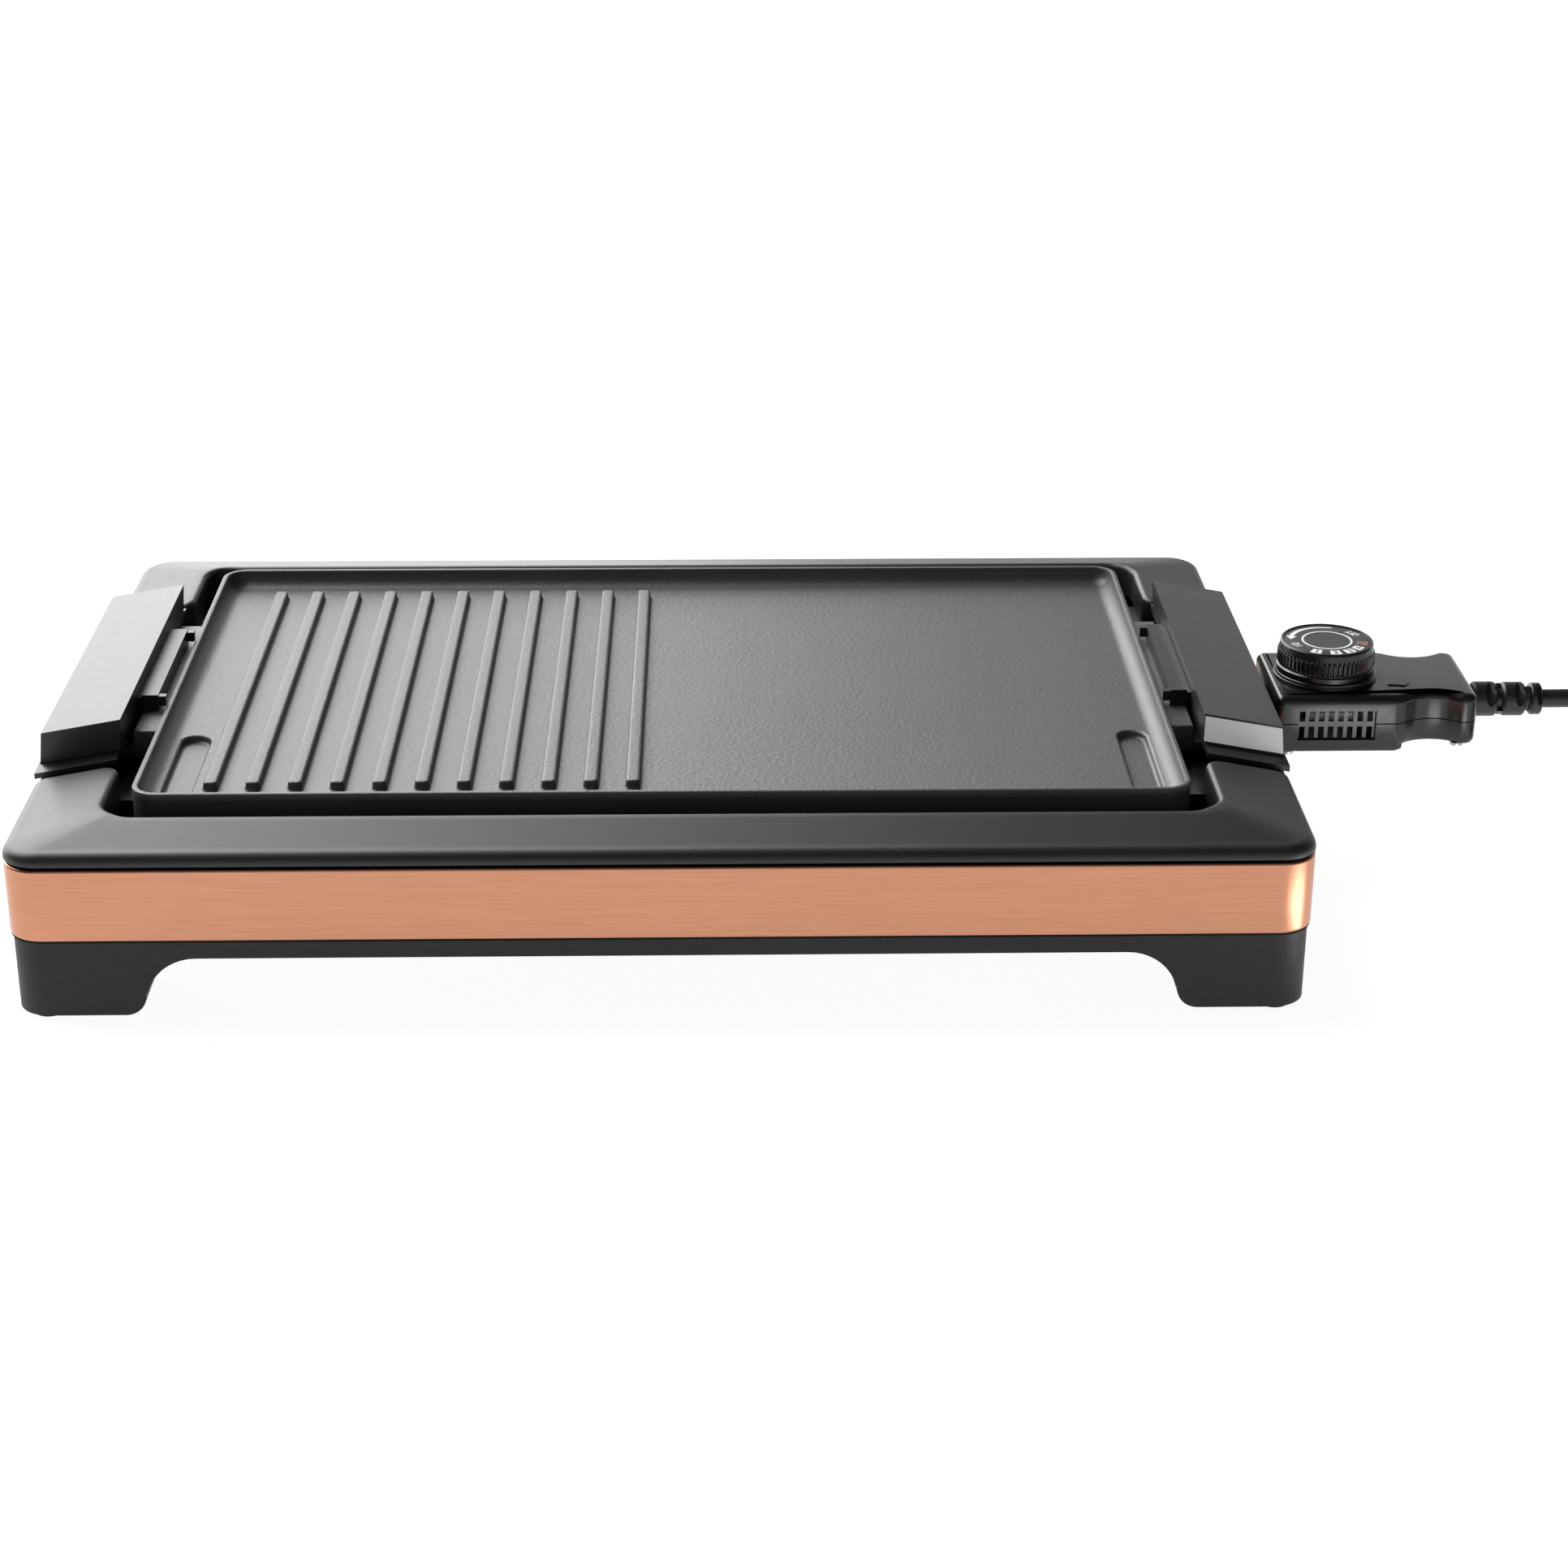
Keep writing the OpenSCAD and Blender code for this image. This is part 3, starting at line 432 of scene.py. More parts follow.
def lead_route():
    """The lead's axis: out of the relief, down in an S, then round the coil to the plug."""
    x0 = CONTROL_X2
    pts = [(LEAD_X, 0, LEAD_Z)] + [(x0 + d, 0, LEAD_Z) for d in (34, 38, 44)]
    for a in (14, 28, 42, 56, 70, 83.8):
        pts.append((x0 + 44 + BEND_R * sin(a), 0, LEAD_Z - BEND_R * (1 - cos(a))))
    for a in (70, 56, 42, 28, 14, 0):
        pts.append((x0 + 106.6 - BEND_R * sin(a), 0, LAY_Z + BEND_R * (1 - cos(a))))
    pts += [(x0 + d, 0, LAY_Z) for d in (116, 126)]
    d, ro, top = LANE, COIL_R, LAY_Z + 2 * LANE
    ri = ro - d
    # the turns, in order, as (radius, height) of each lane
    lanes = [(ro, LAY_Z), (ri, LAY_Z), (ri, LAY_Z + d), (ro, LAY_Z + d), (ro, top)]

    def shift(k, f):
        """From lane k to lane k + 1, where f runs from 0 to 90."""
        c, s = cos(f), sin(f)
        if k == 0:
            return ri + d * c, LAY_Z
        if k == 1:
            return ri, LAY_Z + d * s
        if k == 2:
            return ri + d * s, LAY_Z + d * (s + c)
        return ri + d * (s + c), LAY_Z + d * (2 * s + c)

    step = 7.5
    for k in range(4):
        n = int(360 / step)
        for i in range(n):
            ang = 90 - i * step
            back = 360 - i * step  # degrees left to the crossing
            if back <= 120:
                f = 1 - back / 120
                f = 90 * (f - sin(360 * f) / (2 * math.pi))
                r, z = shift(k, f)
            else:
                r, z = lanes[k]
            pts.append((COIL[0] + r * cos(ang), COIL[1] + r * sin(ang), z))
    for i in range(13):
        ang = 90 - i * step
        pts.append((COIL[0] + ro * cos(ang), COIL[1] + ro * sin(ang), top))
    x = COIL[0] + ro
    for y, z in ((-54, top), (-62, top - 0.2), (-71, top - 0.6), (-80, top - 0.9), (-88, 19.1),
                 (-94.5, 19)):
        pts.append((x, y, z))
    return pts


def smooth_path(pts, step=1.9):
    """Catmull-Rom through the points, then evenly spaced."""
    out = []
    P = [Vector(p) for p in pts]
    P = [P[0] * 2 - P[1]] + P + [P[-1] * 2 - P[-2]]
    for k in range(1, len(P) - 2):
        a, b, c, d = P[k - 1:k + 3]
        n = max(2, int((c - b).length / step) + 1)
        for i in range(n):
            t = i / n
            out.append(0.5 * ((2 * b) + (c - a) * t + (2 * a - 5 * b + 4 * c - d) * t * t
                              + (3 * b - a - 3 * c + d) * t ** 3))
    out.append(P[-2])
    return out


def tube(b, path, r, n=16):
    """A round tube along path, whose section doesn't twist."""
    up = Vector((0, 0, 1))
    rings = []
    side = None
    for k, p in enumerate(path):
        t = (path[min(k + 1, len(path) - 1)] - path[max(k - 1, 0)]).normalized()
        if side is None:
            side = t.cross(up).normalized()
        else:
            side = (side - t * side.dot(t)).normalized()
        v = side.cross(t)
        rings.append([tuple(p + r * (cos(360 * i / n) * side + sin(360 * i / n) * v))
                      for i in range(n)])
    b.loft(rings)


def make_cord():
    route = smooth_path(lead_route(), 2.4)
    b = Build()
    tube(b, route, LEAD_R)
    o = b.make("mains_lead", "control", "cord_rubber",
               replaces=("cord", "cord_coil", "cord_tail"))
    length = sum((q - p).length for p, q in zip(route, route[1:])) * MM
    path = [((p.x + XC) * MM, p.y * MM, p.z * MM) for p in route]
    return o, path, length


cord_obj, cord_path, cord_length = make_cord()


def make_tie():
    """A rubber strap round the bundle, on the side away from the lead."""
    a = 225
    ring = ((32.6, 0.2), (50.4, 0.2), (51.2, 2.0), (51.2, 16.0), (49.0, 18.4), (34.2, 18.4),
            (32.0, 16.0), (32.0, 2.0))
    inner = ((33.8, 0.9), (49.8, 0.9), (50.2, 2.2), (50.2, 15.6), (48.6, 17.3), (34.8, 17.3),
             (33.2, 15.6), (33.2, 2.2))
    crown = [(r + (0.2 if r > 42 else -0.2), z) for r, z in ring]
    b = Build()
    rings = []
    for w, prof in ((-4, inner), (-4, ring), (-3.4, crown), (3.4, crown), (4, ring), (4, inner)):
        rings.append([(COIL[0] + r * cos(a) - w * sin(a), COIL[1] + r * sin(a) + w * cos(a), z)
                      for r, z in prof])
    b.loft(rings, closed=True)
    return b.make("coil_strap", "control", "cord_rubber", replaces=("coil_tie",), bevel=0.15)


tie_obj = make_tie()


def make_relief():
    """The segmented sleeve: collars joined by webs that change sides."""
    b = Build()
    x0 = CONTROL_X2 - 20
    c = (x0, 0, LEAD_Z)
    b.turn([(4.2, 0), (4.2, 19.5), (5.6, 20), (5.6, 22), (4.5, 22.6), (4.4, 49), (4.4, 52)],
           c, "x", 40)
    for h, w, r in ((22.8, 10.0, 7.2), (35.2, 9.4, 7.0), (46.6, 5.0, 6.6)):
        def notch(a, rr, x):
            """A crescent bite near the collar's outer end, on the front and on the back."""
            if rr < 5:
                return 0
            side = min(abs(a - 140), abs(a - 320)) / 46
            q = side * side + ((x - h - 0.74 * w) / (0.2 * w)) ** 2
            return -1.9 * math.sqrt(1 - q) if q < 1 else 0

        prof = [(4.3, h), (r - 1.1, h), (r, h + 1.0)]
        prof += [(r, h + w * k / 20) for k in range(4, 19)]
        prof += [(r - 0.7, h + w), (4.3, h + w)]
        b.turn(prof, c, "x", 64, notch)
    # webs between the collars
    for k, (h, w) in enumerate(((20.6, 2.9), (33.0, 2.6), (44.4, 2.6))):
        for turn in (0, 180):
            a = turn + (52 if k % 2 else 128)
            ring = []
            for r, da in ((3.9, -24), (6.5, -20), (6.5, 20), (3.9, 24)):
                ring.append((r * cos(a + da), LEAD_Z + r * sin(a + da)))
            b.loft([[(x0 + h + dx, y, z) for y, z in ring] for dx in (0, w)])
    return b.make("strain_relief_sleeve", "control", "cord_rubber", replaces=("strain_relief",),
                  bevel=0.25)


relief_obj = make_relief()


def make_plug():
    """A round two-pin plug that lies on the coil's outer side."""
    px, py, pz = CONTROL_X2 + 182.3, -95, 19
    b = Build()

    def grip(a, r, h):
        return 0.35 * cos(a * 24) if 19 < h < 31 and r > 17.5 else 0

    b.turn([(4.4, 0.2), (5.4, 0), (6.2, 1.2), (6.5, 11), (8.6, 13.2), (11.8, 14.6), (12, 16.4),
            (16.6, 17.4), (18.2, 18.6), (18.5, 20.5), (18.5, 24), (18.5, 27), (18.5, 30),
            (18.5, 31.5), (18.7, 33), (18.7, 35.3), (18.2, 36), (14.5, 36), (14.2, 35.4),
            (8, 35.4)],
           (px, py, pz), "y", 96, grip)
    for h in (3, 5.6, 8.2):
        b.turn([(6.0, h), (6.9, h + 0.4), (6.9, h + 1.4), (6.0, h + 1.8)], (px, py, pz), "y", 40)
    body = b.make("plug_shell", "control", "cord_rubber", replaces=("plug_body",))
    p = Build()
    for s in (-1, 1):
        p.turn([(2.4, 30), (2.4, 52.5), (2.2, 53.6), (1.6, 54.6), (0.6, 55)],
               (px + s * 9.5, py, pz), "y", 28)
    pins = p.make("plug_contacts", "control", "contact_metal", replaces=("plug_pins",))
    e = Build()
    for s in (-1, 1):
        e.box(px - 2.5, py - 35, pz + s * 17.4 - 0.5, px + 2.5, py - 20, pz + s * 17.4 + 0.5)
    clips = e.make("plug_earth_springs", "control", "contact_metal", replaces=("plug_earth_clips",),
                   bevel=0.2)
    return [body, pins, clips]


plug_objs = make_plug()
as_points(cord_path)

# ---------------------------------------------------------------- stage and light

def stage():
    me = bpy.data.meshes.new("floor")
    s = 40  # half its side, in metres
    me.from_pydata([(-s, -s, 0), (s, -s, 0), (s, s, 0), (-s, s, 0)], [], [(0, 1, 2, 3)])
    o = bpy.data.objects.new("floor", me)
    scene.collection.objects.link(o)
    m = bpy.data.materials.new("floor")
    p = nodes_of(m)[3]
    p.inputs["Base Color"].default_value = (0.3, 0.3, 0.3, 1)
    p.inputs["Roughness"].default_value = 0.9
    p.inputs["Specular IOR Level"].default_value = 0.0
    p.inputs["Emission Color"].default_value = (1, 1, 1, 1)
    p.inputs["Emission Strength"].default_value = 0.94
    me.materials.append(m)


def area_light(name, w, d, radiance):
    data = bpy.data.lights.new(name, "AREA")
    data.shape = "RECTANGLE"
    data.size = w
    data.size_y = d
    data.energy = radiance * math.pi * w * d
    o = bpy.data.objects.new(name, data)
    scene.collection.objects.link(o)
    return o


def softbox(name, az, dist, elev, w, h, radiance, lean=None):
    """A lamp in metres, az degrees clockwise from the back, level or aimed at height lean."""
    o = area_light(name, w, h, radiance)
    pos = Vector((dist * sin(az), dist * cos(az), dist * math.tan(math.radians(elev))))
    o.location = pos
    aim = Vector((0, 0, pos.z if lean is None else lean))
    o.rotation_euler = (aim - pos).to_track_quat("-Z", "Y").to_euler()


def floor_card(x, y, w, d, radiance):
    """A small bright card on the floor, seen only as a glint in the band's corner."""
    o = area_light("floor_card", w, d, radiance)
    o.location = (x + XC * MM, y, 0.001)
    o.rotation_euler = (math.pi, 0, 0)


stage()
softbox("box_left", -34, 2.6, 30, 3.5, 3.0, 4.6)
softbox("box_top_left", -55, 1.5, 52, 2.0, 1.5, 5.6, lean=0.1)
softbox("box_right", 33, 2.6, 16, 2.6, 1.4, 0.7)
softbox("box_front", 175, 3.0, 20, 4.0, 1.6, 0.35)
floor_card(0.327, -0.205, 0.09, 0.085, 5.0)
world = bpy.data.worlds.new("world")
scene.world = world
world.use_nodes = True
world.node_tree.nodes["Background"].inputs["Color"].default_value = (0.05, 0.05, 0.05, 1)

# ---------------------------------------------------------------- base and cover

def soften(node, width, segments=2):
    """Rounds a CAD node's edges with a modifier."""
    o = frame["nodes"][node]
    o.data.shade_smooth()
    o.data.set_sharp_from_angle(angle=math.radians(30))
    b = o.modifiers.new("edge", "BEVEL")
    b.width = width * MM
    b.segments = segments
    b.limit_method = "ANGLE"
    b.angle_limit = math.radians(35)


def arc(cx, cy, r, a0, a1, n):
    """Points and outward directions along an arc."""
    out = []
    for k in range(n + 1):
        a = a0 + (a1 - a0) * k / n
        out.append(((cx + r * cos(a), cy + r * sin(a)), (cos(a), sin(a))))
    return out


def line(p, q, d, n):
    """Points from p to q, each with the direction d."""
    return [((p[0] + (q[0] - p[0]) * k / n, p[1] + (q[1] - p[1]) * k / n), d)
            for k in range(n + 1)]


def open_ring(inset, r, z, n):
    """A ring round the base that is open at the control's gap."""
    a = HALF_W - inset
    return [(a, GAP_Y, z)] + rring(a, HALF_D - inset, r, z, n) + [(a, -GAP_Y, z)]


def make_cover():
    """The frame round the opening: an outer and an inner edge, lofted across in columns."""
    b = Build()
    Q, LIP = 4.3, 2.4  # radius of the outer roll and of the inner lip
    zo, zi = 68.0, 73.0  # top at the roll and at the opening
    foot, under, seat = 59.4, 63.3, 64.0
    X, Y, R = HALF_W, HALF_D, CORNER_R
    NY = 88.4  # where the gap for a handle starts
    ix, iy = 207, 136.5  # the opening
    ra, rn, ri = 4.8, 7, 12  # corner radii beside the handle and in the opening

    def ztop(x, y):
        tf, tl = Y - abs(y), X - abs(x)
        zf = zo + (zi - zo) * (tf - Q) / (26 - Q)
        zl = zo + (zi - zo) * (tl - Q) / (33 - Q)
        return clamp(min(zf, zl), zo, zi)

    # left half of the front part, from the corner beside the handle to the middle
    out = arc(-X + ra, -NY - ra, ra, 135, 180, 4)
    inn = arc(-X + ra, -NY - ra, ra, 135, 90, 4)
    out += line((-X, -NY - ra), (-X, -98), (-1, 0), 4)[1:]
    inn += line((-X + ra, -NY), (-ix - rn, -NY), (0, 1), 4)[1:]
    out += line((-X, -98), (-X, -103), (-1, 0), 8)[1:]
    inn += arc(-ix - rn, -NY - rn, rn, 90, 0, 8)[1:]
    out += line((-X, -103), (-X, -118), (-1, 0), 8)[1:]
    inn += line((-ix, -NY - rn), (-ix, -121), (1, 0), 8)[1:]
    out += line((-X, -118), (-X, -Y + R), (-1, 0), 9)[1:]
    out += arc(-X + R, -Y + R, R, 180, 270, 14)[1:]
    out += line((-X + R, -Y), (-186, -Y), (0, -1), 9)[1:]
    inn += line((-ix, -121), (-ix, -iy + ri), (1, 0), 5)[1:]
    inn += [(p, (-d[0], -d[1])) for p, d in arc(-ix + ri, -iy + ri, ri, 180, 270, 22)][1:]
    inn += line((-ix + ri, -iy), (-190, -iy), (0, 1), 5)[1:]
    out += line((-186, -Y), (0, -Y), (0, -1), 18)[1:]
    inn += line((-190, -iy), (0, -iy), (0, 1), 18)[1:]
    out += [((-p[0], p[1]), (-d[0], d[1])) for p, d in out[-2::-1]]
    inn += [((-p[0], p[1]), (-d[0], d[1])) for p, d in inn[-2::-1]]

    for s in (1, -1):
        cols = []
        n = len(out)
        for k in range(n):
            (po, do), (pi, di) = out[k], inn[k]
            near = clamp(min(k, n - 1 - k) / 8, 0, 1)
            lip = Q + (LIP - Q) * near
            prof = [(po[0], po[1], under), (po[0], po[1], seat)]
            for a in (12, 26, 40, 54, 68, 82):
                d = Q * (1 - cos(a))
                prof.append((po[0] - do[0] * d, po[1] - do[1] * d, seat + (zo - seat) * sin(a)))
            A = (po[0] - do[0] * Q, po[1] - do[1] * Q)
            B = (pi[0] - di[0] * lip, pi[1] - di[1] * lip)
            zb = ztop(*B)
            for f in (0, 0.12, 0.3, 0.5, 0.7, 0.88, 1):
                x, y = A[0] + (B[0] - A[0]) * f, A[1] + (B[1] - A[1]) * f
                prof.append((x, y, zo + (zb - zo) * f))
            for a in (15, 32, 50, 70, 90):
                d = lip * (1 - sin(a))
                prof.append((pi[0] - di[0] * d, pi[1] - di[1] * d,
                             zb - lip * 0.9 * (1 - cos(a))))
            wx, wy = pi[0] - di[0] * 2.2, pi[1] - di[1] * 2.2  # back of the wall
            prof += [(pi[0], pi[1], foot), (wx, wy, foot), (wx, wy, under)]
            cols.append([(x, s * y, z) for x, y, z in prof])
        b.loft(cols)
    # low sills under the handles; the right one leaves the control's gap
    x0, x1 = 232.5, X
    sec = [(x0, 58), (x0, 64.1), (x0 + 0.4, 64.4), (x1 - 1.6, 64.4), (x1 - 0.5, 64.1),
           (x1, under), (x1 - 3, under), (x1 - 3, 58)]
    for s, y0, y1 in ((-1, -89, 89), (1, -89, -GAP_Y), (1, GAP_Y, 89)):
        b.loft([[(s * x, y, z) for x, z in sec] for y in (y0, y1)])
    # the rib that seats the cover in the housing
    rings = [open_ring(inset, R - inset, z, 8)
             for inset, z in ((3, 63.5), (3, 60.8), (4.4, 60.8), (4.4, 63.5))]
    b.loft([list(col) for col in zip(*rings)])
    b.make("cover_frame", "base", "cover_plastic", replaces=("top_cover", "handle_sills"),
           sharp=38)


make_cover()


def make_band():
    """The metal strip, open at the control's gap, with a lower bridge across the gap."""
    b = Build()

    def runs(ends):
        """More points along the straight runs, so that the shading stays even."""
        out = [ends[0]]
        for p, q in zip(ends, ends[1:]):
            run = math.dist(p, q)
            if run > 25:
                steps = [2] + [run * k / 12 for k in range(1, 12)] + [run - 2]
                out += [tuple(u + (v - u) * s / run for u, v in zip(p, q)) for s in steps]
            out.append(q)
        return out

    foot = [(0.5, BAND_Z0), (0.08, BAND_Z0 + 0.4), (0, BAND_Z0 + 1.1)]
    sec = foot + [(0, BAND_Z1 - 1.1), (0.08, BAND_Z1 - 0.4), (0.5, BAND_Z1), (1.0, BAND_Z1),
                  (1.0, BAND_Z0)]
    rings = [runs(open_ring(inset, CORNER_R - inset, z, 16)) for inset, z in sec]
    b.loft([list(col) for col in zip(*rings)])
    low = foot + [(0, 44.6), (0.3, 45), (1.0, 45), (1.0, BAND_Z0)]
    b.loft([[(HALF_W - inset, y, z) for inset, z in low] for y in (-GAP_Y, GAP_Y)])
    b.make("metal_band", "base", "copper_band", replaces=("trim_band",), sharp=50)


make_band()


def make_shadow_gap_strip():
    """The dark line between the band and the housing: a near-black strip, painted shadow where the
    band overhangs the housing.
    """
    b = Build()
    sec = [(1.3, -0.6), (0.25, -0.6), (0.25, 0.1), (1.3, 0.1)]
    b.loft([rring(HALF_W - d, HALF_D - d, CORNER_R - d, BAND_Z0 + z, 16) for d, z in sec],
           closed=True)
    b.make("band_seam", "base", "foot_rubber", material=SHADOW_GAP_BLACK, sharp=50)


make_shadow_gap_strip()
for name in ("base_housing", "foot_front_left", "foot_front_right", "foot_back_left",
             "foot_back_right"):
    soften(name, 0.5)
for name in ("support_rail_left", "support_rail_right", "drip_tray"):
    soften(name, 0.3)

# ---------------------------------------------------------------- cooking plate

def make_dish():
    """The dish with its hollow skirt, drain channels and drain holes."""
    b = Build()
    outer = ((3.2, UNDER_Z), (3.2, SKIRT_Z + 0.4), (2.8, SKIRT_Z), (0.6, SKIRT_Z),
             (0.2, SKIRT_Z + 0.4), (0, 62), (0, RIM_Z - 0.7), (0.15, RIM_Z - 0.2), (0.6, RIM_Z),
             (1.5, RIM_Z), (2.0, RIM_Z - 0.2), (2.2, RIM_Z - 0.7))

    def ring(inset, z):
        return rring(PLATE_X - inset, PLATE_Y - inset, PLATE_R - inset, z, n=12)

    rings = [ring(*p) for p in outer]
    q = 6.2  # fillet from the rim down to the floor
    for a in (4, 15, 27, 39, 51, 63, 75, 84, 90):
        rings.append(ring(2.3 + q * (1 - cos(a)), FLOOR_Z + q * (1 - sin(a))))
    rings.append(rring(PLATE_X - 9.4, PLATE_Y - 9.4, 1.2, FLOOR_Z, n=12))
    b.loft(rings)
    plate = loose(b, "cooking_plate")
    # the channels, as (growth, height over the floor)
    sec = ((-1.6, -2.7), (-0.9, -2.6), (-0.4, -2.2), (-0.2, -1.6), (-0.1, -1.0), (0.1, -0.5),
           (0.45, -0.18), (0.9, -0.02), (1.3, 0.04), (3, 2))
    channels, holes = Build(), Build()
    for s in (-1, 1):
        x = s * SLOT_X
        rings = []
        for off, z in sec:
            r = 5.7 + off
            path = [(x + r * cos(a), SLOT_Y + r * sin(a)) for a in range(0, 181, 12)]
            path += [(x - r, -113.0 - off), (x + r, -113.0 - off)]
            rings.append([(px, py, FLOOR_Z + z) for px, py in path])
        channels.loft(rings)
        holes.turn([(3.9, 0), (3.9, 12)], (x, HOLE_Y, 60), "z", 32)
    cutaway(plate, loose(channels, "cut"))
    cutaway(plate, loose(holes, "cut"))
    o = from_mesh(plate).make("cooking_plate", "griddle_unit", "plate_coating",
                              replaces=("griddle_plate",), sharp=36)
    o.modifiers.new("even", "WEIGHTED_NORMAL").keep_sharp = True


def make_ribs():
    """The grill ribs: drafted, with squared ends and a fillet at the foot."""
    b = Build()
    sec = ((1.1, -0.4), (0.8, 0.03), (0.52, 0.16), (0.36, 0.5), (0.2, 1.6), (0.1, 2.6),
           (0.02, 2.9), (-0.15, 3.14), (-0.5, 3.3), (-1.1, 3.34))
    for i in range(RIB_N):
        x = RIB_X0 + i * RIB_PITCH
        b.loft([[(x + px, py, pz) for px, py, pz in
                 rring(2.5 + off, 106.4 + off, 1.5 + max(off, -0.9), FLOOR_Z + z, 6)]
                for off, z in sec])
    b.make("grill_ribs", "griddle_unit", "plate_coating", sharp=60)


def make_casting():
    """Ears for the handles, fat spouts and screw bosses."""
    b = Build()
    for s in (-1, 1):
        b.loft([[(s * 197.2, -59 + g, z), (s * (207.6 - g), -59 + g, z),
                 (s * (207.6 - g), 59 - g, z), (s * 197.2, 59 - g, z)]
                for z, g in ((62.5, 0.6), (63.2, 0), (73.2, 0), (73.8, 0.3), (74, 1.0))])
        for y in (-57, 29):
            b.box(s * 200, y, 62.5, s * 228, y + 28, 66)
        b.turn([(4, 0), (6, 0), (6, 13), (4, 13)], (s * SLOT_X, HOLE_Y, 52), "z", 32, closed=True)
        for sy in (-1, 1):
            b.turn([(1.5, 0), (5, 0), (5, 18), (1.5, 18)],
                   (-168 if s < 0 else 174, sy * 104, 47), "z", 24)
    b.make("plate_casting", "griddle_unit", "plate_coating", replaces=("plate_underside",),
           sharp=30, bevel=0.5)


def make_heater_channel():
    """The cast bead that holds the element: one loop from pin to pin, and the probe's box."""
    b = Build()
    r = 20
    path = [(208, 12), (195.5, 12), (194.5, 12), (180, 12)]
    path += [(180 + r * cos(a), 32 + r * sin(a)) for a in range(-100, -181, -10)]
    path += [(160, 60)] + [(140 + r * cos(a), 60 + r * sin(a)) for a in range(10, 91, 10)]
    path += [(-130, 80)] + [(-130 + r * cos(a), 60 + r * sin(a)) for a in range(100, 181, 10)]
    P = [Vector((x, y, 0)) for x, y in path + [(x, -y) for x, y in path[::-1]]]
    rings = []
    for k, p in enumerate(P):
        t = (P[min(k + 1, len(P) - 1)] - P[max(k - 1, 0)]).normalized()
        sd = Vector((t.y, -t.x, 0))
        top = SKIRT_Z if p.x > 195 else UNDER_Z  # lower where it leaves the skirt
        rings.append([(p.x + sd.x * w, p.y + sd.y * w, z)
                      for w, z in ((-6.5, top), (-6.3, 50), (-5.3, 49), (5.3, 49), (6.3, 50),
                                   (6.5, top))])
    b.loft(rings)
    b.box(128, -6, 49, 192, 6, UNDER_Z)
    b.make("heater_channel", "griddle_unit", "plate_coating", sharp=30)


make_dish()
make_ribs()
make_casting()
make_heater_channel()
for name in ("handle_left", "handle_right"):
    soften(name, 0.55, 3)
for name in ("handle_block_left", "handle_block_right"):
    soften(name, 0.7, 3)
soften("socket_shroud", 0.5)
soften("bottom_shield", 0.2)


def make_end_highlight_panel():
    """A light grey panel on the right handle's front end that glows by emission: a painted
    highlight where that face shows bright.
    """
    b = Build()
    tilt = (HANDLE_ZI - HANDLE_ZO) / (HANDLE_X1 - HANDLE_X0)
    pts = [(x, HANDLE_ZI - (x - HANDLE_X0) * tilt - drop)
           for x, drop in ((208.9, 0.9), (239.0, 0.9), (240.0, 11.3), (208.9, 11.3))]
    b.loft([[(x, y, z) for x, z in pts] for y in (0.3 - HANDLE_Y, -0.22 - HANDLE_Y)])
    b.make("handle_end_panel", "griddle_unit", "handle_plastic", material=END_PAINTED_GLOW, bevel=0.1)


make_end_highlight_panel()

# ---------------------------------------------------------------- control

def control_outline(off=0.0, z=0.0):
    """The control's outline in plan, inset by off."""
    x0, x1, x2, hw = CONTROL_X0, CONTROL_X1, CONTROL_X2, CONTROL_Y
    r, end_r, end_y = 3.6, 4.6, -25.9
    half = [p for p, _ in arc(x0 + r, -hw + r, r, 180, 270, 6)]
    half += [(270, -hw), (x1 - 4, -hw), (x1 - 1.6, -hw + 0.25), (x1, -hw + 1.2)]
    # the waist for the fingers
    half += [(310.3 + 16.4 * cos(a), -37.6 + 16.4 * sin(a)) for a in range(132, 47, -6)]
    half += [(322.6, end_y), (324, end_y)]
    half += [p for p, _ in arc(x2 - end_r, end_y + end_r, end_r, 275, 360, 7)]
    full = half + [(x, -y) for x, y in half[::-1]]
    n = len(full)
    if not off:
        return [(x, y, z) for x, y in full]
    out = []
    for k in range(n):
        p, q = Vector(full[k - 1]), Vector(full[(k + 1) % n])
        t = (q - p).normalized()
        nv = Vector((t.y, -t.x))
        out.append((full[k][0] - nv.x * off, full[k][1] - nv.y * off, z))
    return out


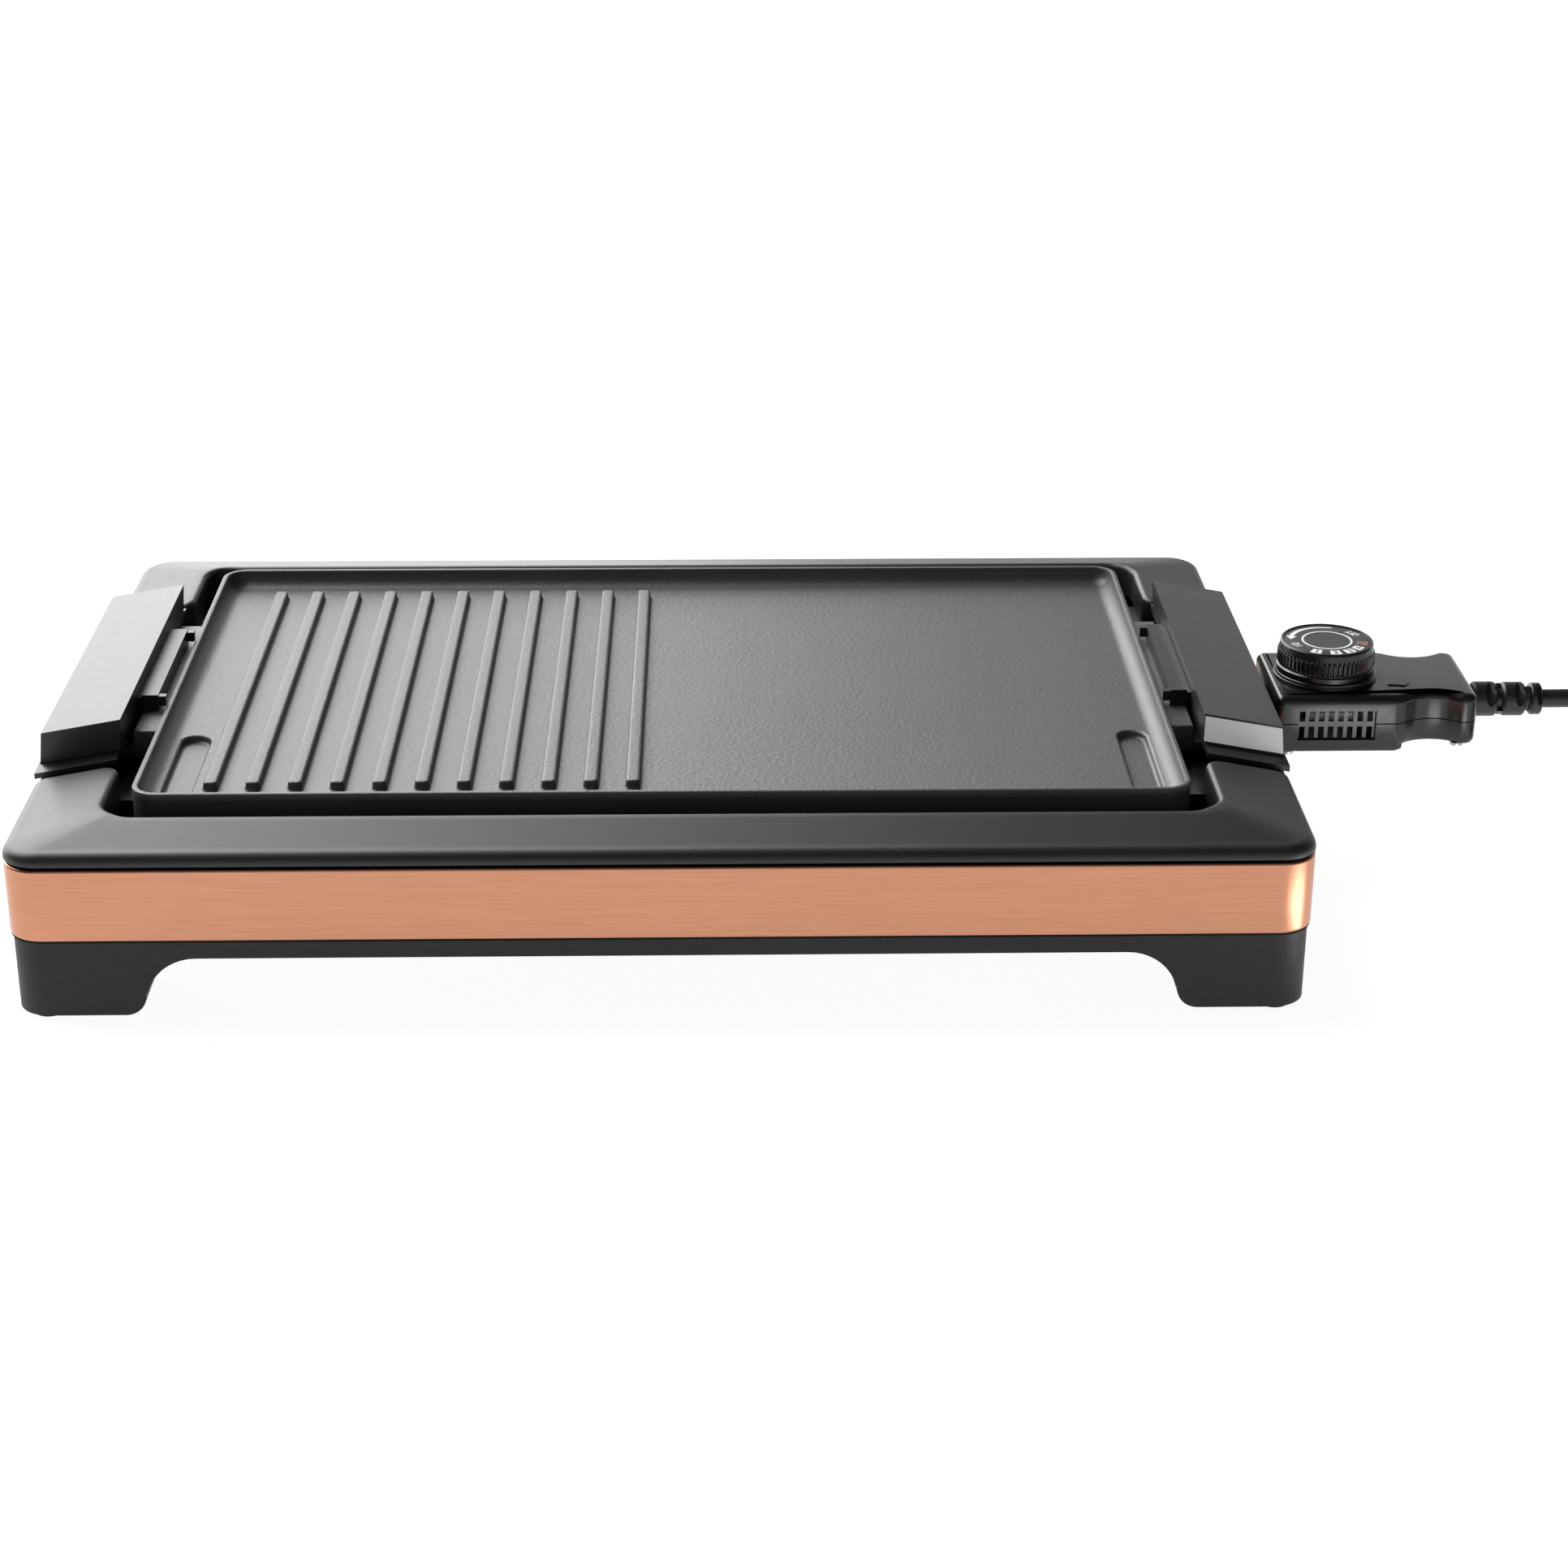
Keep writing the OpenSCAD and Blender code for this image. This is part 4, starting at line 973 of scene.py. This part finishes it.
def make_control():
    """Two hollow shells with vents, cut from the solid outline."""
    top = Build()
    prof = [(0.9, SPLIT_Z), (0.28, SPLIT_Z), (0.0, SPLIT_Z + 0.25), (0.0, 69.3)]
    for a in (15, 30, 45, 60, 75, 90):
        prof.append((3.1 * (1 - cos(a)), 69.3 + 3.1 * sin(a)))
    prof.append((4.4, 72.45))
    top.loft([control_outline(o, z) for o, z in prof])
    lid = loose(top, "lid")
    low = Build()
    low.loft([control_outline(o, z) for o, z in
              ((2.2, 51.2), (1.0, 51.5), (0.25, 52.6), (0.0, 54.0), (0.0, SPLIT_Z - 0.25),
               (0.28, SPLIT_Z), (0.9, SPLIT_Z))])
    case = loose(low, "case")
    belly = Build()
    x0, x1, x2 = CONTROL_X0, CONTROL_X1 - 2, CONTROL_X1 + 0.5
    rings = []
    for g, z in ((1.6, 48.6), (0.5, 49.0), (0, 50.0), (0, 55)):
        rings.append([(x0 + g, -26.8 + g, z), (x1 - g, -26.8 + g, z), (x2 - g, -25.0 + g, z),
                      (x2 - g, 25.0 - g, z), (x1 - g, 26.8 - g, z), (x0 + g, 26.8 - g, z)])
    belly.loft(rings)
    cutaway(case, loose(belly, "belly"), "UNION")

    def recess():
        k = Build()
        for s in (-1, 1):
            k.box(255.3, s * 25.4, 54.0, 286.9, s * 29, 66.6)
        return loose(k, "recess")

    def vents():
        k = Build()
        for s in (-1, 1):
            for i in range(8):
                x = 256.0 + i * 3.92
                for z0, z1 in ((54.5, 59.4), (61.6, 66.1)):
                    k.box(x, s * 22.0, z0, x + 2.3, s * 29, z1)
        return loose(k, "vents")

    hollow = Build()
    hollow.box(249.5, -23.6, 53.4, 293, 23.6, 69.6)
    cutaway(lid, loose(hollow, "hollow"))
    cutaway(case, loose(hollow, "hollow"))
    mouth = Build()
    mouth.box(240, -21.8, 47.5, 251, 21.8, 59.7)
    cutaway(case, loose(mouth, "mouth"))
    for o, name, node in ((lid, "control_lid", "control_top_shell"),
                          (case, "control_case", "control_bottom_shell")):
        cutaway(o, recess())
        cutaway(o, vents())
        from_mesh(o).make(name, "control", "control_plastic", replaces=(node,), sharp=34)
    # raised pointer mark on the lid
    p = Build()
    rings = []
    for g, z in ((0, 72.4), (0, 72.75), (0.25, 72.95)):
        rings.append([(293.4 + g * 2, -13.4 + g * 0.6, z), (300.6 - g, -14.6 + g, z),
                      (302.6 - g, -11.6, z), (300.9 - g, -10.4 - g * 0.4, z)])
    p.loft(rings)
    p.make("control_pointer", "control", "control_plastic", sharp=30)


make_control()


def make_knob():
    """The knob, its seat and the dial with its marks, numbers and words."""
    kx, dial_z = KNOB_X, 87.13
    b = Build()

    def ribs(a, r, h):
        if 78.6 < h < 83.6:
            return 0.42 * clamp(1.6 * cos(a * 60), -1, 1)
        return 0

    prof = [(3.2, 75.2), (19.2, 75.2), (19.9, 75.5), (20.0, 77.3), (19.7, 77.6), (19.4, 77.9),
            (19.45, 78.3), (19.5, 78.7), (19.4, 79.4), (19.3, 82.8), (19.25, 83.5), (19.1, 84.0),
            (19.0, 84.4), (18.95, 86.5), (18.8, 87.2), (18.4, 87.55), (17.9, 87.6), (17.55, 87.5),
            (17.4, 87.15), (17.35, 86.9), (3.2, 86.9)]
    b.turn(prof, (kx, 0, 0), "z", 480, ribs)
    b.make("knob_grip", "knob", "knob_plastic", replaces=("knob",), sharp=45)
    c = Build()
    c.turn([(4.1, 72.5), (21.0, 72.5), (21.1, 72.9), (21.0, 73.6), (20.4, 73.8), (20.3, 74.1),
            (20.25, 74.7), (20.0, 74.95), (4.1, 74.95)], (kx, 0, 0), "z", 96)
    c.make("knob_seat", "control", "knob_plastic", replaces=("knob_collar",), sharp=35)
    d = Build()
    d.turn([(0.4, 86.85), (17.3, 86.85), (17.3, 87.12), (17.1, 87.2), (10.9, 87.1), (0.4, 87.05)],
           (kx, 0, 0), "z", 96)
    d.make("dial_disc", "knob", "dial_face", replaces=("knob_dial",), sharp=30)

    def flat(b, pts):
        b.loft([[(x, y, z) for x, y in pts] for z in (dial_z - 0.06, dial_z + 0.1)])

    def sweep(r0, r1, a0, a1, n):
        """Points from radius r0 to r1 while the angle runs from a0 to a1."""
        pts = []
        for k in range(n + 1):
            r, a = r0 + (r1 - r0) * k / n, a0 + (a1 - a0) * k / n
            pts.append((kx + r * cos(a), r * sin(a)))
        return pts

    def sector(b, a0, a1):
        r0, r1 = 12.2, 16.4
        flat(b, sweep(r1, r1, a0, a1, 8) + sweep(r0, r0, a1, a0, 8))

    w = Build()
    n = 96
    rings = []
    for r, z in ((9.5, 87.04), (9.5, 87.2), (10.35, 87.2), (10.35, 87.04)):
        rings.append([(kx + r * cos(360 * k / n), r * sin(360 * k / n), z) for k in range(n)])
    w.loft(rings, closed=True)
    # turn arrow
    tail, tip = 72, 160
    flat(w, sweep(15.05, 15.65, tail, tip, 22) + sweep(13.6, 14.2, tip, tail, 22))
    flat(w, [(kx + r * cos(a), r * sin(a)) for r, a in ((16.9, tip), (12.4, tip), (14.7, 175))])
    for a, half in ((243, 8.5), (274, 8.5), (299, 8.5), (320.5, 7.5)):
        sector(w, a - half, a + half)
    w.make("dial_marks", "knob", "dial_face", material=PRINT, sharp=30)
    hot = Build()
    sector(hot, 337, 352)
    hot.make("dial_mark_hot", "knob", "dial_face", material=PRINT_HOT, sharp=30)

    glyph = {
        "1": [[(-0.3, 0.6), (0.1, 1), (0.1, -1)]],
        "2": [[(-0.5, 0.6), (-0.2, 1), (0.3, 0.95), (0.5, 0.5), (-0.5, -1), (0.55, -1)]],
        "3": [[(-0.5, 0.9), (0.2, 1), (0.5, 0.55), (0, 0.1), (0.5, -0.4), (0.2, -1), (-0.5, -0.9)]],
        "4": [[(0.3, -1), (0.3, 1), (-0.6, -0.35), (0.6, -0.35)]],
        "5": [[(0.5, 1), (-0.4, 1), (-0.45, 0.2), (0.2, 0.25), (0.5, -0.3), (0.2, -0.95),
               (-0.5, -0.9)]],
        "O": [[(0.62 * cos(a), sin(a)) for a in range(0, 361, 30)]],
        "N": [[(-0.55, -1), (-0.55, 1), (0.55, -1), (0.55, 1)]],
        "F": [[(-0.45, -1), (-0.45, 1), (0.5, 1)], [(-0.45, 0.1), (0.35, 0.1)]],
    }

    def stroke(b, path, wd, z):
        P = [Vector((x, y, 0)) for x, y in path]
        rings = []
        for k, p in enumerate(P):
            t = (P[min(k + 1, len(P) - 1)] - P[max(k - 1, 0)]).normalized()
            sd = Vector((t.y, -t.x, 0)) * wd
            rings.append([(p.x + sd.x, p.y + sd.y, z - 0.08), (p.x + sd.x, p.y + sd.y, z + 0.05),
                          (p.x - sd.x, p.y - sd.y, z + 0.05), (p.x - sd.x, p.y - sd.y, z - 0.08)])
        b.loft(rings)

    def write(b, text, ang, size, pitch, wd, z):
        """Characters of half height size round the dial, read from its outside."""
        for i, ch in enumerate(text):
            a = ang + (i - (len(text) - 1) / 2) * pitch
            c0 = Vector((kx + 14.3 * cos(a), 14.3 * sin(a), 0))
            outw = Vector((cos(a), sin(a), 0))
            rgt = Vector((-sin(a), cos(a), 0))
            for path in glyph[ch]:
                stroke(b, [tuple((c0 + rgt * (x * size) - outw * (y * size))[:2])
                           for x, y in path], wd, z)

    num = Build()
    for ch, a in (("1", 243), ("2", 274), ("3", 299), ("4", 320.5), ("5", 344.5)):
        write(num, ch, a, 1.35, 10, 0.24, 87.27)
    num.make("dial_numbers", "knob", "dial_face", material=PRINT_DARK, sharp=30)
    wrd = Build()
    write(wrd, "ON", 201, 1.5, 9.5, 0.26, 87.2)
    write(wrd, "OFF", 34, 1.5, 8.5, 0.26, 87.2)
    wrd.make("dial_words", "knob", "dial_face", material=PRINT, sharp=30)


make_knob()
